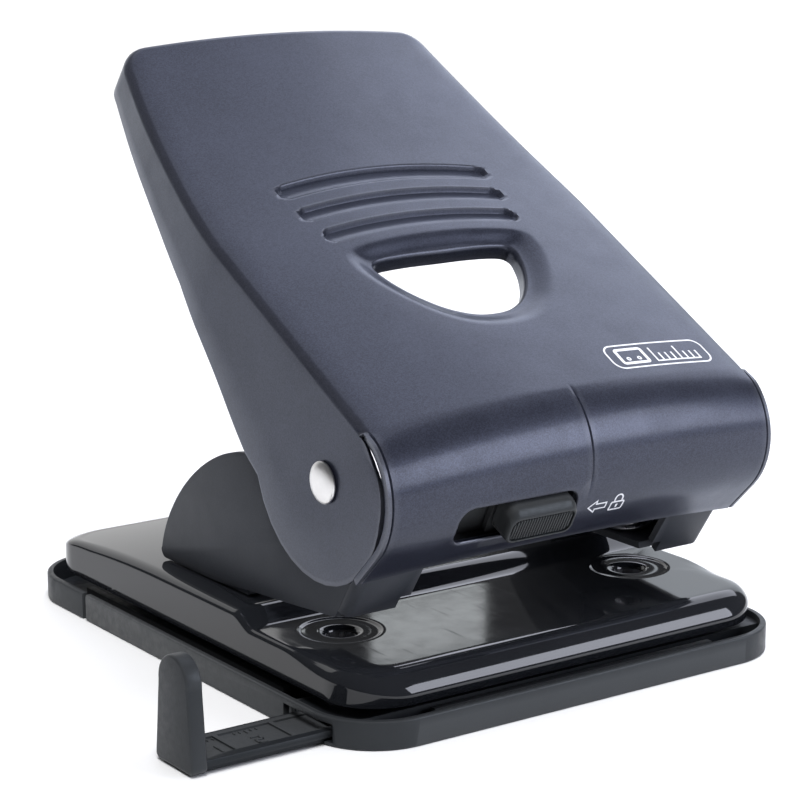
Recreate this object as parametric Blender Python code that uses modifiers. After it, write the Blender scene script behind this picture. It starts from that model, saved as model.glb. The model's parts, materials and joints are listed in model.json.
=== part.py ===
"""Two-hole desk punch: pressed-steel lever punch with a plastic chip tray and a sliding paper guide.

Axes: +X to the right along the paper edge, +Y to the back, +Z up. The origin is the centre of the chip
tray's underside, on the surface that the punch stands on. Lengths below are millimetres.
"""
import bpy
import bmesh
from math import atan2, cos, degrees, hypot, pi, radians, sin, sqrt
from mathutils import Matrix, Vector

MM = 0.001
PART_NAME = "hole_punch"
GAP = 0.3

# Driving dimensions ---------------------------------------------------------------------------------
HOLE_SPACING = 80.0
HOLE_Y = -36.5
PIN_RADIUS = 3.0
PAPER_STOP_Y = -24.5

TRAY_X = 120.0
TRAY_Y = 142.4
TRAY_HEIGHT = 6.3
TRAY_CORNER = 16.0
TRAY_WALL = 1.4
TRAY_FLOOR = 1.4

PLATE_X = 112.0
PLATE_FRONT = -67.8
PLATE_BACK = 67.2
PLATE_CORNER = 13.5
PLATE_SHEET = 1.2
SKIRT_Z = 7.4
DECK_LOW_Z = 14.7
DECK_HIGH_Z = 17.5

CHEEK_X = 48.8
CHEEK_SHEET = 1.6
PIVOT_Y = -47.7
PIVOT_Z = 51.3

HANDLE_HALF = 51.1
HANDLE_SHEET = 1.4
BARREL_Y = -54.2
BARREL_Z = 50.5
BARREL_RADIUS = 16.2
BARREL_WRAP = 225.0
TOP_SLOPE = 0.53
TOP_CURL = 0.00226
CURL_START = -5.0
TOP_LENGTH = 130.5
CROWN_TOP = 3.2
CROWN_FRONT = 0.3
EDGE_ROUND = 1.8
REAR_CORNER = 7.0
REAR_FLANGE = 10.0

PRESS_ROD_RADIUS = 3.5
PRESS_ROD_Y = -35.6
PRESS_ROD_Z = 57.3
PIN_TIP_Z = 22.9
PIN_TOP_Z = 53.5

GUIDE_Y = -53.2
GUIDE_TAB_X = -91.0
GUIDE_INNER_X = 30.0
TAB_HEIGHT = 23.6

HINGE_Y = 62.6
HINGE_Z = 7.0
HINGE_PIN_RADIUS = 1.4

# Derived places
PIN_X = HOLE_SPACING / 2
TOP_ANGLE = degrees(atan2(1.0, -TOP_SLOPE))
BARREL_ARC = BARREL_RADIUS * radians(BARREL_WRAP - TOP_ANGLE)


# Scene helpers --------------------------------------------------------------------------------------
def clear_scene():
    for item in list(bpy.data.objects):
        bpy.data.objects.remove(item, do_unlink=True)


def collection(name):
    group = bpy.data.collections.new(name)
    bpy.context.scene.collection.children.link(group)
    return group


clear_scene()
PARTS = collection(PART_NAME)
CUTTERS = collection("cutters")


def material(name, colour, roughness, metallic):
    made = bpy.data.materials.new(name)
    made.use_nodes = True
    shader = made.node_tree.nodes["Principled BSDF"]
    shader.inputs["Base Color"].default_value = (*colour, 1.0)
    shader.inputs["Roughness"].default_value = roughness
    shader.inputs["Metallic"].default_value = metallic
    made.diffuse_color = (*colour, 1.0)
    return made


HANDLE_PAINT = material("handle_paint", (0.115, 0.125, 0.155), 0.36, 0.6)
FRAME_PAINT = material("frame_paint", (0.055, 0.062, 0.076), 0.42, 0.5)
BASE_ENAMEL = material("base_enamel", (0.012, 0.013, 0.016), 0.08, 0.0)
DARK_PLASTIC = material("dark_plastic", (0.045, 0.050, 0.055), 0.48, 0.0)
LOCK_PLASTIC = material("lock_plastic", (0.015, 0.016, 0.016), 0.42, 0.0)
PLATED_STEEL = material("plated_steel", (0.72, 0.71, 0.70), 0.24, 1.0)
TOOL_STEEL = material("tool_steel", (0.42, 0.42, 0.44), 0.28, 1.0)
SPRING_STEEL = material("spring_steel", (0.50, 0.50, 0.52), 0.30, 1.0)
NYLON = material("nylon", (0.62, 0.60, 0.55), 0.50, 0.0)
RUBBER = material("rubber", (0.020, 0.020, 0.021), 0.85, 0.0)


def link(name, mesh, paint, group=None):
    made = bpy.data.objects.new(name, mesh)
    (group or PARTS).objects.link(made)
    if paint is not None:
        mesh.materials.clear()
        mesh.materials.append(paint)
    if group is CUTTERS:
        made.hide_render = True
        made.display_type = "WIRE"
    return made


def mesh_from(name, vertices, faces):
    mesh = bpy.data.meshes.new(name)
    mesh.from_pydata([Vector(v) * MM for v in vertices], [], faces)
    mesh.update()
    return mesh


def smooth(item, angle=35.0):
    item.data.shade_smooth()
    item.data.set_sharp_from_angle(angle=radians(angle))
    return item


def box(name, low, high, paint=None, group=None):
    shape = bmesh.new()
    bmesh.ops.create_cube(shape, size=1.0)
    size = [(b - a) * MM for a, b in zip(low, high)]
    centre = [(a + b) / 2 * MM for a, b in zip(low, high)]
    bmesh.ops.transform(shape, matrix=Matrix.Translation(centre) @ Matrix.Diagonal((*size, 1.0)),
                        verts=shape.verts)
    mesh = bpy.data.meshes.new(name)
    shape.to_mesh(mesh)
    shape.free()
    return link(name, mesh, paint, group)


TURN = {"X": Matrix.Rotation(pi / 2, 4, "Y"), "Y": Matrix.Rotation(-pi / 2, 4, "X"),
        "Z": Matrix.Identity(4)}


def rod(name, axis, start, length, radius, paint=None, group=None, sides=24):
    shape = bmesh.new()
    bmesh.ops.create_cone(shape, cap_ends=True, segments=sides, radius1=radius * MM, radius2=radius * MM,
                          depth=length * MM)
    place = Matrix.Translation(Vector(start) * MM) @ TURN[axis] @ Matrix.Translation((0, 0,
                                                                                      length / 2 * MM))
    bmesh.ops.transform(shape, matrix=place, verts=shape.verts)
    mesh = bpy.data.meshes.new(name)
    shape.to_mesh(mesh)
    shape.free()
    return smooth(link(name, mesh, paint, group))


def baked_mesh(item):
    graph = bpy.context.evaluated_depsgraph_get()
    mesh = bpy.data.meshes.new_from_object(item.evaluated_get(graph))
    shape = bmesh.new()
    shape.from_mesh(mesh)
    bmesh.ops.remove_doubles(shape, verts=shape.verts, dist=0.00001)
    shape.to_mesh(mesh)
    shape.free()
    return mesh


PLANES = {
    "XY": Matrix.Identity(4),
    "YZ": Matrix(((0, 0, 1, 0), (1, 0, 0, 0), (0, 1, 0, 0), (0, 0, 0, 1))),
}


def plate(name, plane, outline, low, high, paint=None, group=None, place=None):
    """A flat outline in the XY or YZ plane, thick from low to high along the plane's normal."""
    curve = bpy.data.curves.new(name, "CURVE")
    curve.dimensions = "2D"
    curve.fill_mode = "BOTH"
    curve.extrude = (high - low) / 2 * MM
    spline = curve.splines.new("POLY")
    spline.points.add(len(outline) - 1)
    for point, (a, b) in zip(spline.points, outline):
        point.co = (a * MM, b * MM, 0.0, 1.0)
    spline.use_cyclic_u = True
    drawn = bpy.data.objects.new(name + "_outline", curve)
    bpy.context.scene.collection.objects.link(drawn)
    drawn.matrix_world = Matrix.Identity(4)
    bpy.context.view_layer.update()
    mesh = baked_mesh(drawn)
    bpy.data.objects.remove(drawn, do_unlink=True)
    mesh.transform(PLANES[plane] @ Matrix.Translation((0, 0, (low + high) / 2 * MM)))
    if place is not None:
        mesh.transform(place)
    return link(name, mesh, paint, group)


def turned(name, axis, start, profile, paint, group=None, sides=24):
    """A solid of revolution; profile is (radius, distance along the axis) from the far end to the start."""
    mesh = mesh_from(name, [(r, 0.0, h) for r, h in profile], [])
    mesh.edges.add(len(profile) - 1)
    for k in range(len(profile) - 1):
        mesh.edges[k].vertices = (k, k + 1)
    made = link(name, mesh, paint, group)
    screw = made.modifiers.new("turn", "SCREW")
    screw.axis = "Z"
    screw.steps = sides
    screw.render_steps = sides
    screw.use_merge_vertices = True
    screw.merge_threshold = 0.00001
    made.matrix_world = Matrix.Translation(Vector(start) * MM) @ TURN[axis]
    bpy.context.view_layer.update()
    solid = baked_mesh(made)
    solid.transform(made.matrix_world)
    bpy.data.objects.remove(made, do_unlink=True)
    return smooth(link(name, solid, paint, group))


def combine(item, other, operation):
    step = item.modifiers.new(operation.lower(), "BOOLEAN")
    step.operation = operation
    step.solver = "EXACT"
    step.object = other
    return item


def cut(item, *cutters):
    for cutter in cutters:
        combine(item, cutter, "DIFFERENCE")
    return item


def join(item, *others):
    for other in others:
        combine(item, other, "UNION")
    return item


def bevel(item, width, segments=2, angle=40.0):
    step = item.modifiers.new("bevel", "BEVEL")
    step.width = width * MM
    step.segments = segments
    step.limit_method = "ANGLE"
    step.angle_limit = radians(angle)
    return item


def settle(item, angle=35.0):
    """Turn the evaluated shape into the object's own mesh, so that its cutters are no longer needed."""
    bpy.context.view_layer.update()
    mesh = baked_mesh(item)
    paint = item.data.materials[0] if item.data.materials else None
    item.modifiers.clear()
    item.data = mesh
    mesh.materials.clear()
    if paint is not None:
        mesh.materials.append(paint)
    return smooth(item, angle)


def pivot(name, place):
    mark = bpy.data.objects.new(name, None)
    mark.empty_display_size = 0.01
    mark.location = Vector(place) * MM
    PARTS.objects.link(mark)
    return mark


def hang(mark, *items):
    for item in items:
        item.parent = mark
        item.matrix_parent_inverse = Matrix.Translation(-mark.location)


def arc(centre, radius, start, end, count):
    """Points on a circle from one angle to another, in degrees, both ends included."""
    span = end - start
    angles = [radians(start + span * k / count) for k in range(count + 1)]
    return [(centre[0] + radius * cos(a), centre[1] + radius * sin(a)) for a in angles]


def rounded_rectangle(left, right, front, back, radius, count=8):
    points = arc((left + radius, front + radius), radius, 180, 270, count)
    points += arc((right - radius, front + radius), radius, 270, 360, count)
    points += arc((right - radius, back - radius), radius, 0, 90, count)
    points += arc((left + radius, back - radius), radius, 90, 180, count)
    return points


# Chip tray ------------------------------------------------------------------------------------------
GUIDE_SLOT_LOW = 1.3
GUIDE_SLOT_HIGH = 3.4
GUIDE_SLOT_END = 57.0


def tray_outline(inset):
    return rounded_rectangle(-TRAY_X / 2 + inset, TRAY_X / 2 - inset, -TRAY_Y / 2 + inset,
                             TRAY_Y / 2 - inset,
                             TRAY_CORNER - inset)


def make_chip_tray():
    tray = plate("chip_tray", "XY", tray_outline(0.0), 0.0, TRAY_HEIGHT, DARK_PLASTIC)
    inside = plate("tray_inside", "XY", tray_outline(TRAY_WALL), TRAY_FLOOR, TRAY_HEIGHT + 5, None, CUTTERS)
    cut(tray, inside)
    channel = box("tray_channel", (-57.5, GUIDE_Y - 9.0, 0.2), (58.8, GUIDE_Y + 9.0, 4.7), None, CUTTERS)
    side_ribs = [box("tray_rib_" + side, (sign * 53.4 - 0.9, -36.0, 0.5),
                     (sign * 53.4 + 0.9, 50.0, 4.6),
                     None, CUTTERS) for side, sign in (("left", -1.0), ("right", 1.0))]
    front_rib = box("tray_rib_front", (-36.0, -65.4, 0.5), (40.0, -63.8, 4.6), None, CUTTERS)
    lugs = []
    for side, sign in (("left", -1.0), ("right", 1.0)):
        ear = [(HINGE_Y + 2.6, 0.5)] + arc((HINGE_Y, HINGE_Z), 2.6, 0, 180, 8) + [(HINGE_Y - 2.6, 0.5)]
        lugs.append(plate("tray_lug_" + side, "YZ", ear, sign * 30.0 - 1.5, sign * 30.0 + 1.5, None,
                          CUTTERS))
    join(tray, channel, *side_ribs, front_rib, *lugs)
    rail_slot = box("rail_slot", (-70.0, GUIDE_Y - 7.1, GUIDE_SLOT_LOW),
                    (GUIDE_SLOT_END, GUIDE_Y + 7.1, GUIDE_SLOT_HIGH),
                    None, CUTTERS)
    bar_slot = box("bar_slot", (-70.0, GUIDE_Y - 6.1, -1.0),
                   (GUIDE_SLOT_END, GUIDE_Y + 6.1, GUIDE_SLOT_LOW + 0.2),
                   None, CUTTERS)
    wall_window = box("wall_window", (-70.0, GUIDE_Y - 8.2, 0.9), (-57.0, GUIDE_Y + 8.2, 5.0), None,
                      CUTTERS)
    relief = box("relief_slot", (-62.0, 40.2, -1.0), (-58.2, 41.8, 9.0), None, CUTTERS)
    hinge_bore = rod("hinge_bore", "X", (-40.0, HINGE_Y, HINGE_Z), 80.0, HINGE_PIN_RADIUS + 0.25, None,
                     CUTTERS)
    cut(tray, rail_slot, bar_slot, wall_window, relief, hinge_bore)
    pads = [rod("pad_pocket_%d" % k, "Z", (x, y, -1.0), 1.9, 6.3, None, CUTTERS, 20) for k,
            (x, y) in enumerate(PAD_PLACES)]
    cut(tray, *pads)
    return settle(tray)


PAD_PLACES = [(-42.0, -32.0), (42.0, -32.0), (-42.0, 54.0), (42.0, 54.0)]


def make_pads():
    for k, (x, y) in enumerate(PAD_PLACES):
        name = "rubber_pad_%d" % (k + 1)
        turned(name, "Z", (x, y, 0.0), [(0.0, 0.6), (6.0, 0.6), (6.0, 0.2), (5.8, 0.0), (0.0, 0.0)],
               RUBBER, sides=20)


# Base plate -----------------------------------------------------------------------------------------
SHOULDER = 2.6
BACK_ROUND = 7.0


def smooth_step(t):
    t = min(1.0, max(0.0, t))
    return t * t * (3.0 - 2.0 * t)


def deck_height(y):
    """Top of the base plate on its centre line: low under the paper, one step up, falling to the back."""
    step_start = PAPER_STOP_Y - 1.5
    step_end = PAPER_STOP_Y + 6.0
    rise = (DECK_HIGH_Z - DECK_LOW_Z) * smooth_step((y - step_start) / (step_end - step_start))
    fall = 0.00135 * max(0.0, y - 14.0) ** 2
    return DECK_LOW_Z + rise - fall


def plate_profile(inset):
    ys = [PLATE_FRONT + 0.01 + inset, -50.0]
    ys += [PAPER_STOP_Y - 1.5 + 7.5 * k / 8 for k in range(9)]
    ys += [14.0 + 44.0 * k / 6 for k in range(7)]
    top = [(y, deck_height(y) - inset) for y in ys]
    centre = (PLATE_BACK - BACK_ROUND, deck_height(PLATE_BACK - BACK_ROUND) - BACK_ROUND)
    top += arc(centre, BACK_ROUND - inset, 82, 0, 5)
    bottom = SKIRT_Z if inset == 0 else SKIRT_Z - 5.0
    return [(PLATE_FRONT + inset, bottom)] + top + [(PLATE_BACK - inset, bottom)]


def plate_block(name, inset, paint, group):
    block = plate(name, "YZ", plate_profile(inset), -PLATE_X / 2 + inset, PLATE_X / 2 - inset, paint, group)
    outline = rounded_rectangle(-PLATE_X / 2 + inset, PLATE_X / 2 - inset, PLATE_FRONT + inset,
                                PLATE_BACK - inset,
                                PLATE_CORNER - inset)
    keeper = plate(name + "_plan", "XY", outline, -10.0, 40.0, None, CUTTERS)
    combine(block, keeper, "INTERSECT")
    settle(block)
    return block


def round_shoulder(block, radius, inset):
    """Bevel only the rim between the deck and the skirt."""
    mesh = block.data
    shape = bmesh.new()
    shape.from_mesh(mesh)
    rim = []
    for edge in shape.edges:
        if len(edge.link_faces) != 2:
            continue
        normals = [face.normal.z for face in edge.link_faces]
        middle = (edge.verts[0].co + edge.verts[1].co) / 2
        if max(normals) > 0.5 and min(abs(n) for n in normals) < 0.25 and middle.z > (SKIRT_Z + 1.0) * MM:
            rim.append(edge)
    bmesh.ops.bevel(shape, geom=rim, offset=radius * MM, offset_type="OFFSET", segments=3, profile=0.5,
                    affect="EDGES", clamp_overlap=True)
    shape.to_mesh(mesh)
    shape.free()
    return block


def make_base_plate():
    shell = plate_block("base_plate", 0.0, BASE_ENAMEL, PARTS)
    hollow = plate_block("plate_hollow", PLATE_SHEET, None, CUTTERS)
    round_shoulder(shell, SHOULDER, 0.0)
    round_shoulder(hollow, SHOULDER - PLATE_SHEET, PLATE_SHEET)
    cut(shell, hollow)
    for side, sign in (("left", -1.0), ("right", 1.0)):
        dimple = turned("die_dimple_" + side, "Z", (sign * PIN_X, HOLE_Y, DECK_LOW_Z - 0.35),
                        [(0.0, 2.0), (8.6, 2.0), (7.6, 0.0), (0.0, 0.0)], None, CUTTERS)
        die = turned("die_hole_" + side, "Z", (sign * PIN_X, HOLE_Y, DECK_LOW_Z - 3.0),
                     [(0.0, 5.0), (3.75, 5.0), (3.75, 2.65), (3.2, 2.1), (3.2, 0.0), (0.0, 0.0)], None,
                     CUTTERS)
        cut(shell, dimple, die)
        rivet_holes = [rod("rivet_hole_%s_%d" % (side, k), "Z", (sign * RIVET_X, y, 5.0), 20.0, 1.9, None,
                           CUTTERS, 12)
                       for k, y in enumerate(RIVET_Y)]
        cut(shell, *rivet_holes)
    return settle(shell)


DIE_PLATE_TOP = DECK_LOW_Z - PLATE_SHEET - GAP


def make_die_plate():
    strip = box("die_plate", (-47.0, HOLE_Y - 7.0, DIE_PLATE_TOP - 2.0),
                (47.0, HOLE_Y + 7.0, DIE_PLATE_TOP), TOOL_STEEL)
    bores = [rod("die_bore_" + side, "Z", (sign * PIN_X, HOLE_Y, 5.0), 15.0, 3.3, None, CUTTERS)
             for side, sign in (("left", -1.0), ("right", 1.0))]
    bevel(strip, 0.4, 1)
    cut(strip, *bores)
    return settle(strip)


# Punch frames ---------------------------------------------------------------------------------------
RIVET_X = 41.0
RIVET_Y = (-8.0, 13.0)
FOOT_Z = DECK_HIGH_Z + 0.35
CHEEK_BACK = 23.8
BOSS_RADIUS = 13.5
FLANGE_INNER_X = 33.0
FLANGE_LOW = (-50.6, 22.4)
FLANGE_HIGH = (-58.3, 34.0)


def cheek_back_edge():
    """Superellipse quarter from the back corner up to the top of the cheek."""
    centre_y = -14.0
    power = 1.65
    points = []
    for k in range(1, 13):
        a = radians(90.0 * k / 13)
        y = centre_y + (CHEEK_BACK - centre_y) * cos(a) ** (2 / power)
        z = FOOT_Z + (49.9 - FOOT_Z) * sin(a) ** (2 / power)
        points.append((y, z))
    return points


def cheek_outline():
    foot = arc((CHEEK_BACK - 2.0, FOOT_Z + 2.0), 2.0, -90, 0, 3)
    climb = [(-20.0, 51.4), (-30.0, 56.6)]
    boss = arc((PIVOT_Y, PIVOT_Z), BOSS_RADIUS, 52, 196, 12)
    front = [(-61.0, 42.5), (-61.58, 38.96), FLANGE_LOW, (-34.4, 20.8), (-14.5, 19.2), (0.0, FOOT_Z)]
    return foot + cheek_back_edge() + climb + boss + front


def make_frame(side, sign):
    inner_x = CHEEK_X - CHEEK_SHEET
    low_x, high_x = sorted((sign * CHEEK_X, sign * inner_x))
    frame = plate("frame_" + side, "YZ", cheek_outline(), low_x, high_x, FRAME_PAINT)
    lean = (FLANGE_HIGH[0] - FLANGE_LOW[0], FLANGE_HIGH[1] - FLANGE_LOW[1])
    length = hypot(*lean)
    along = (lean[0] / length, lean[1] / length)
    inward = (along[1], -along[0])
    sheet = CHEEK_SHEET

    def on_flange(distance, depth):
        return (FLANGE_LOW[0] + along[0] * distance + inward[0] * depth,
                FLANGE_LOW[1] + along[1] * distance + inward[1] * depth)

    tall = [on_flange(0.02, 0.02), on_flange(length + 6.0, 0.02), on_flange(length + 6.0, sheet),
            on_flange(0.02, sheet)]
    low_x, high_x = sorted((sign * (CHEEK_X - 0.02), sign * FLANGE_INNER_X))
    flange = plate("flange_" + side, "YZ", tall, low_x, high_x, None, CUTTERS)
    notch_profile = [on_flange(-2.0, -1.0), on_flange(3.4, -1.0), on_flange(3.4, sheet + 1.0),
                     on_flange(-2.0, sheet + 1.0)]
    low_x, high_x = sorted((sign * (FLANGE_INNER_X + 2.6), sign * (FLANGE_INNER_X - 2.0)))
    notch = plate("flange_notch_" + side, "YZ", notch_profile, low_x, high_x, None, CUTTERS)
    cut(flange, notch)
    low_x, high_x = sorted((sign * (CHEEK_X - 0.03), sign * 36.0))
    foot = box("frame_foot_" + side, (low_x, -13.0, FOOT_Z + 0.02), (high_x, 18.0, FOOT_Z + CHEEK_SHEET),
               None, CUTTERS)
    join(frame, flange, foot)
    bores = [rod("foot_bore_%s_%d" % (side, k), "Z", (sign * RIVET_X, y, 5.0), 20.0, 1.9, None, CUTTERS, 12)
             for k, y in enumerate(RIVET_Y)]
    bores.append(rod("pivot_bore_" + side, "X", (sign * 40.0 - 12.0, PIVOT_Y, PIVOT_Z), 24.0, 3.2, None,
                     CUTTERS))
    cut(frame, *bores)
    return settle(frame)


def make_frame_rivets(side, sign):
    """Two rivets that hold one foot to the base plate, as separate pieces in one node each."""
    for k, y in enumerate(RIVET_Y):
        top = FOOT_Z + CHEEK_SHEET + GAP
        under = deck_height(y) - PLATE_SHEET - GAP
        profile = [(0.0, top + 1.2), (1.8, top + 1.0), (2.9, top + 0.4), (3.1, top), (1.6, top),
                   (1.6, under),
                   (2.8, under), (2.8, under - 0.9), (0.0, under - 0.9)]
        turned("frame_rivet_%s_%d" % (side, k + 1), "Z", (sign * RIVET_X, y, 0.0), profile, PLATED_STEEL,
               sides=12)


# Punch units ----------------------------------------------------------------------------------------
GUIDE_PLATE_LOW = 22.8
GUIDE_PLATE_SHEET = 1.5
BUSH_TOP = 38.0
WASHER_LOW = 50.8


def make_punch_unit(side, sign):
    inner, outer = sign * 33.4, sign * (CHEEK_X - CHEEK_SHEET - GAP)
    low_x, high_x = sorted((inner, outer))
    top = GUIDE_PLATE_LOW + GUIDE_PLATE_SHEET
    shelf = box("guide_plate_" + side, (low_x, -47.6, GUIDE_PLATE_LOW), (high_x, -27.0, top), FRAME_PAINT)
    lip = box("guide_lip_" + side, (low_x + 0.02, -28.5, GUIDE_PLATE_LOW + 0.02),
              (high_x - 0.02, -27.02, 33.0), None, CUTTERS)
    bore = rod("guide_bore_" + side, "Z", (sign * PIN_X, HOLE_Y, 15.0), 20.0, PIN_RADIUS + 0.25, None,
               CUTTERS)
    join(shelf, lip)
    cut(shelf, bore)
    settle(shelf)
    x, y = sign * PIN_X, HOLE_Y
    low = top + GAP
    turned("guide_bush_" + side, "Z", (x, y, 0.0), ring_profile(PIN_RADIUS + 0.25, 4.3, low, BUSH_TOP),
           TOOL_STEEL)
    pin_profile = [(0.0, PIN_TOP_Z), (3.6, PIN_TOP_Z), (4.2, PIN_TOP_Z - 0.5), (4.2, PIN_TOP_Z - 1.2),
                   (PIN_RADIUS, PIN_TOP_Z - 1.2), (PIN_RADIUS, PIN_TIP_Z), (0.0, PIN_TIP_Z + 1.3)]
    pin = turned("punch_pin_" + side, "Z", (x, y, 0.0), pin_profile, TOOL_STEEL)
    washer = turned("spring_washer_" + side, "Z", (x, y, 0.0),
                    ring_profile(PIN_RADIUS + 0.25, 6.2, WASHER_LOW, WASHER_LOW + 1.1), PLATED_STEEL)
    spring = make_spring("return_spring_" + side, (x, y), 5.15, 0.5, low + 0.05, WASHER_LOW - GAP)
    hang(pivot("punch_axis_" + side, (x, y, PIN_TIP_Z)), pin, washer)
    return spring


def ring_profile(inner, outer, low, high):
    return [(inner, high), (outer, high), (outer, low), (inner, low), (inner, high)]


def make_spring(name, centre, radius, wire, low, high):
    """Compression spring with one flat turn at each end."""
    turns = 8
    per_turn = 10
    flat = 0.6
    curve = bpy.data.curves.new(name, "CURVE")
    curve.dimensions = "3D"
    curve.bevel_depth = wire * MM
    curve.bevel_resolution = 1
    curve.use_fill_caps = True
    spline = curve.splines.new("POLY")
    spline.points.add(turns * per_turn)
    bottom = low + wire
    top = high - wire
    for k, point in enumerate(spline.points):
        turn = k / per_turn
        climb = min(1.0, max(0.0, (turn - flat) / (turns - 2 * flat)))
        x = centre[0] + radius * cos(2 * pi * turn)
        y = centre[1] + radius * sin(2 * pi * turn)
        point.co = (x * MM, y * MM, (bottom + (top - bottom) * climb) * MM, 1.0)
    drawn = bpy.data.objects.new(name + "_path", curve)
    bpy.context.scene.collection.objects.link(drawn)
    bpy.context.view_layer.update()
    mesh = baked_mesh(drawn)
    bpy.data.objects.remove(drawn, do_unlink=True)
    return smooth(link(name, mesh, SPRING_STEEL))


# Handle shell ---------------------------------------------------------------------------------------
def top_height(y):
    return 97.55 + TOP_SLOPE * y + TOP_CURL * max(0.0, y - CURL_START) ** 2


def half_width(y):
    return HANDLE_HALF - 7.6 * (max(0.0, y - CURL_START) / 47.0) ** 1.5


def side_profile(s):
    """Point and outward normal (y, z) at arc length s along the top; negative s runs down the barrel."""
    if s >= 0.0:
        y = BARREL_Y + BARREL_RADIUS * cos(radians(TOP_ANGLE))
        steps = 40
        for _ in range(steps):
            slope = TOP_SLOPE + 2 * TOP_CURL * max(0.0, y - CURL_START)
            y += s / steps / hypot(1.0, slope)
        slope = TOP_SLOPE + 2 * TOP_CURL * max(0.0, y - CURL_START)
        size = hypot(1.0, slope)
        return y, top_height(y), -slope / size, 1.0 / size
    turn = min(-s, BARREL_ARC) / BARREL_RADIUS + radians(TOP_ANGLE)
    tail = max(0.0, -s - BARREL_ARC)
    y = BARREL_Y + BARREL_RADIUS * cos(turn) + tail * sqrt(0.5)
    z = BARREL_Z + BARREL_RADIUS * sin(turn) - tail * sqrt(0.5)
    return y, z, cos(turn), sin(turn)


def crown(s):
    if s >= 0.0:
        return CROWN_TOP
    part = min(1.0, -s / (BARREL_RADIUS * radians(200.0 - TOP_ANGLE)))
    return CROWN_TOP + (CROWN_FRONT - CROWN_TOP) * part


def on_handle(x, s, sink=0.0):
    """Point of the handle's outer surface, sunk inwards by the given depth."""
    y, z, ny, nz = side_profile(s)
    bulge = crown(s) * max(0.0, 1.0 - (x / half_width(y)) ** 2) - sink
    return (x, y + ny * bulge, z + nz * bulge)


def wall_bottom_outline():
    """Lower edge of a side wall as (y, z), from the rear flange round the lobe to the end of the slit."""
    points = [(53.0, 121.5), (32.0, 102.8), (12.0, 85.0), (-4.0, 66.4), (-19.5, 48.6)]
    for k in range(12):
        a = -9.0 - 156.0 * k / 11
        r = 26.3 - 0.042 * (abs(a) - 9.0) - 0.9 * sin(pi * k / 11)
        points.append((PIVOT_Y + r * cos(radians(a)), PIVOT_Z + r * sin(radians(a))))
    points += arc((BARREL_Y, BARREL_Z), 13.2, 196, 125, 6)
    return points


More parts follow.
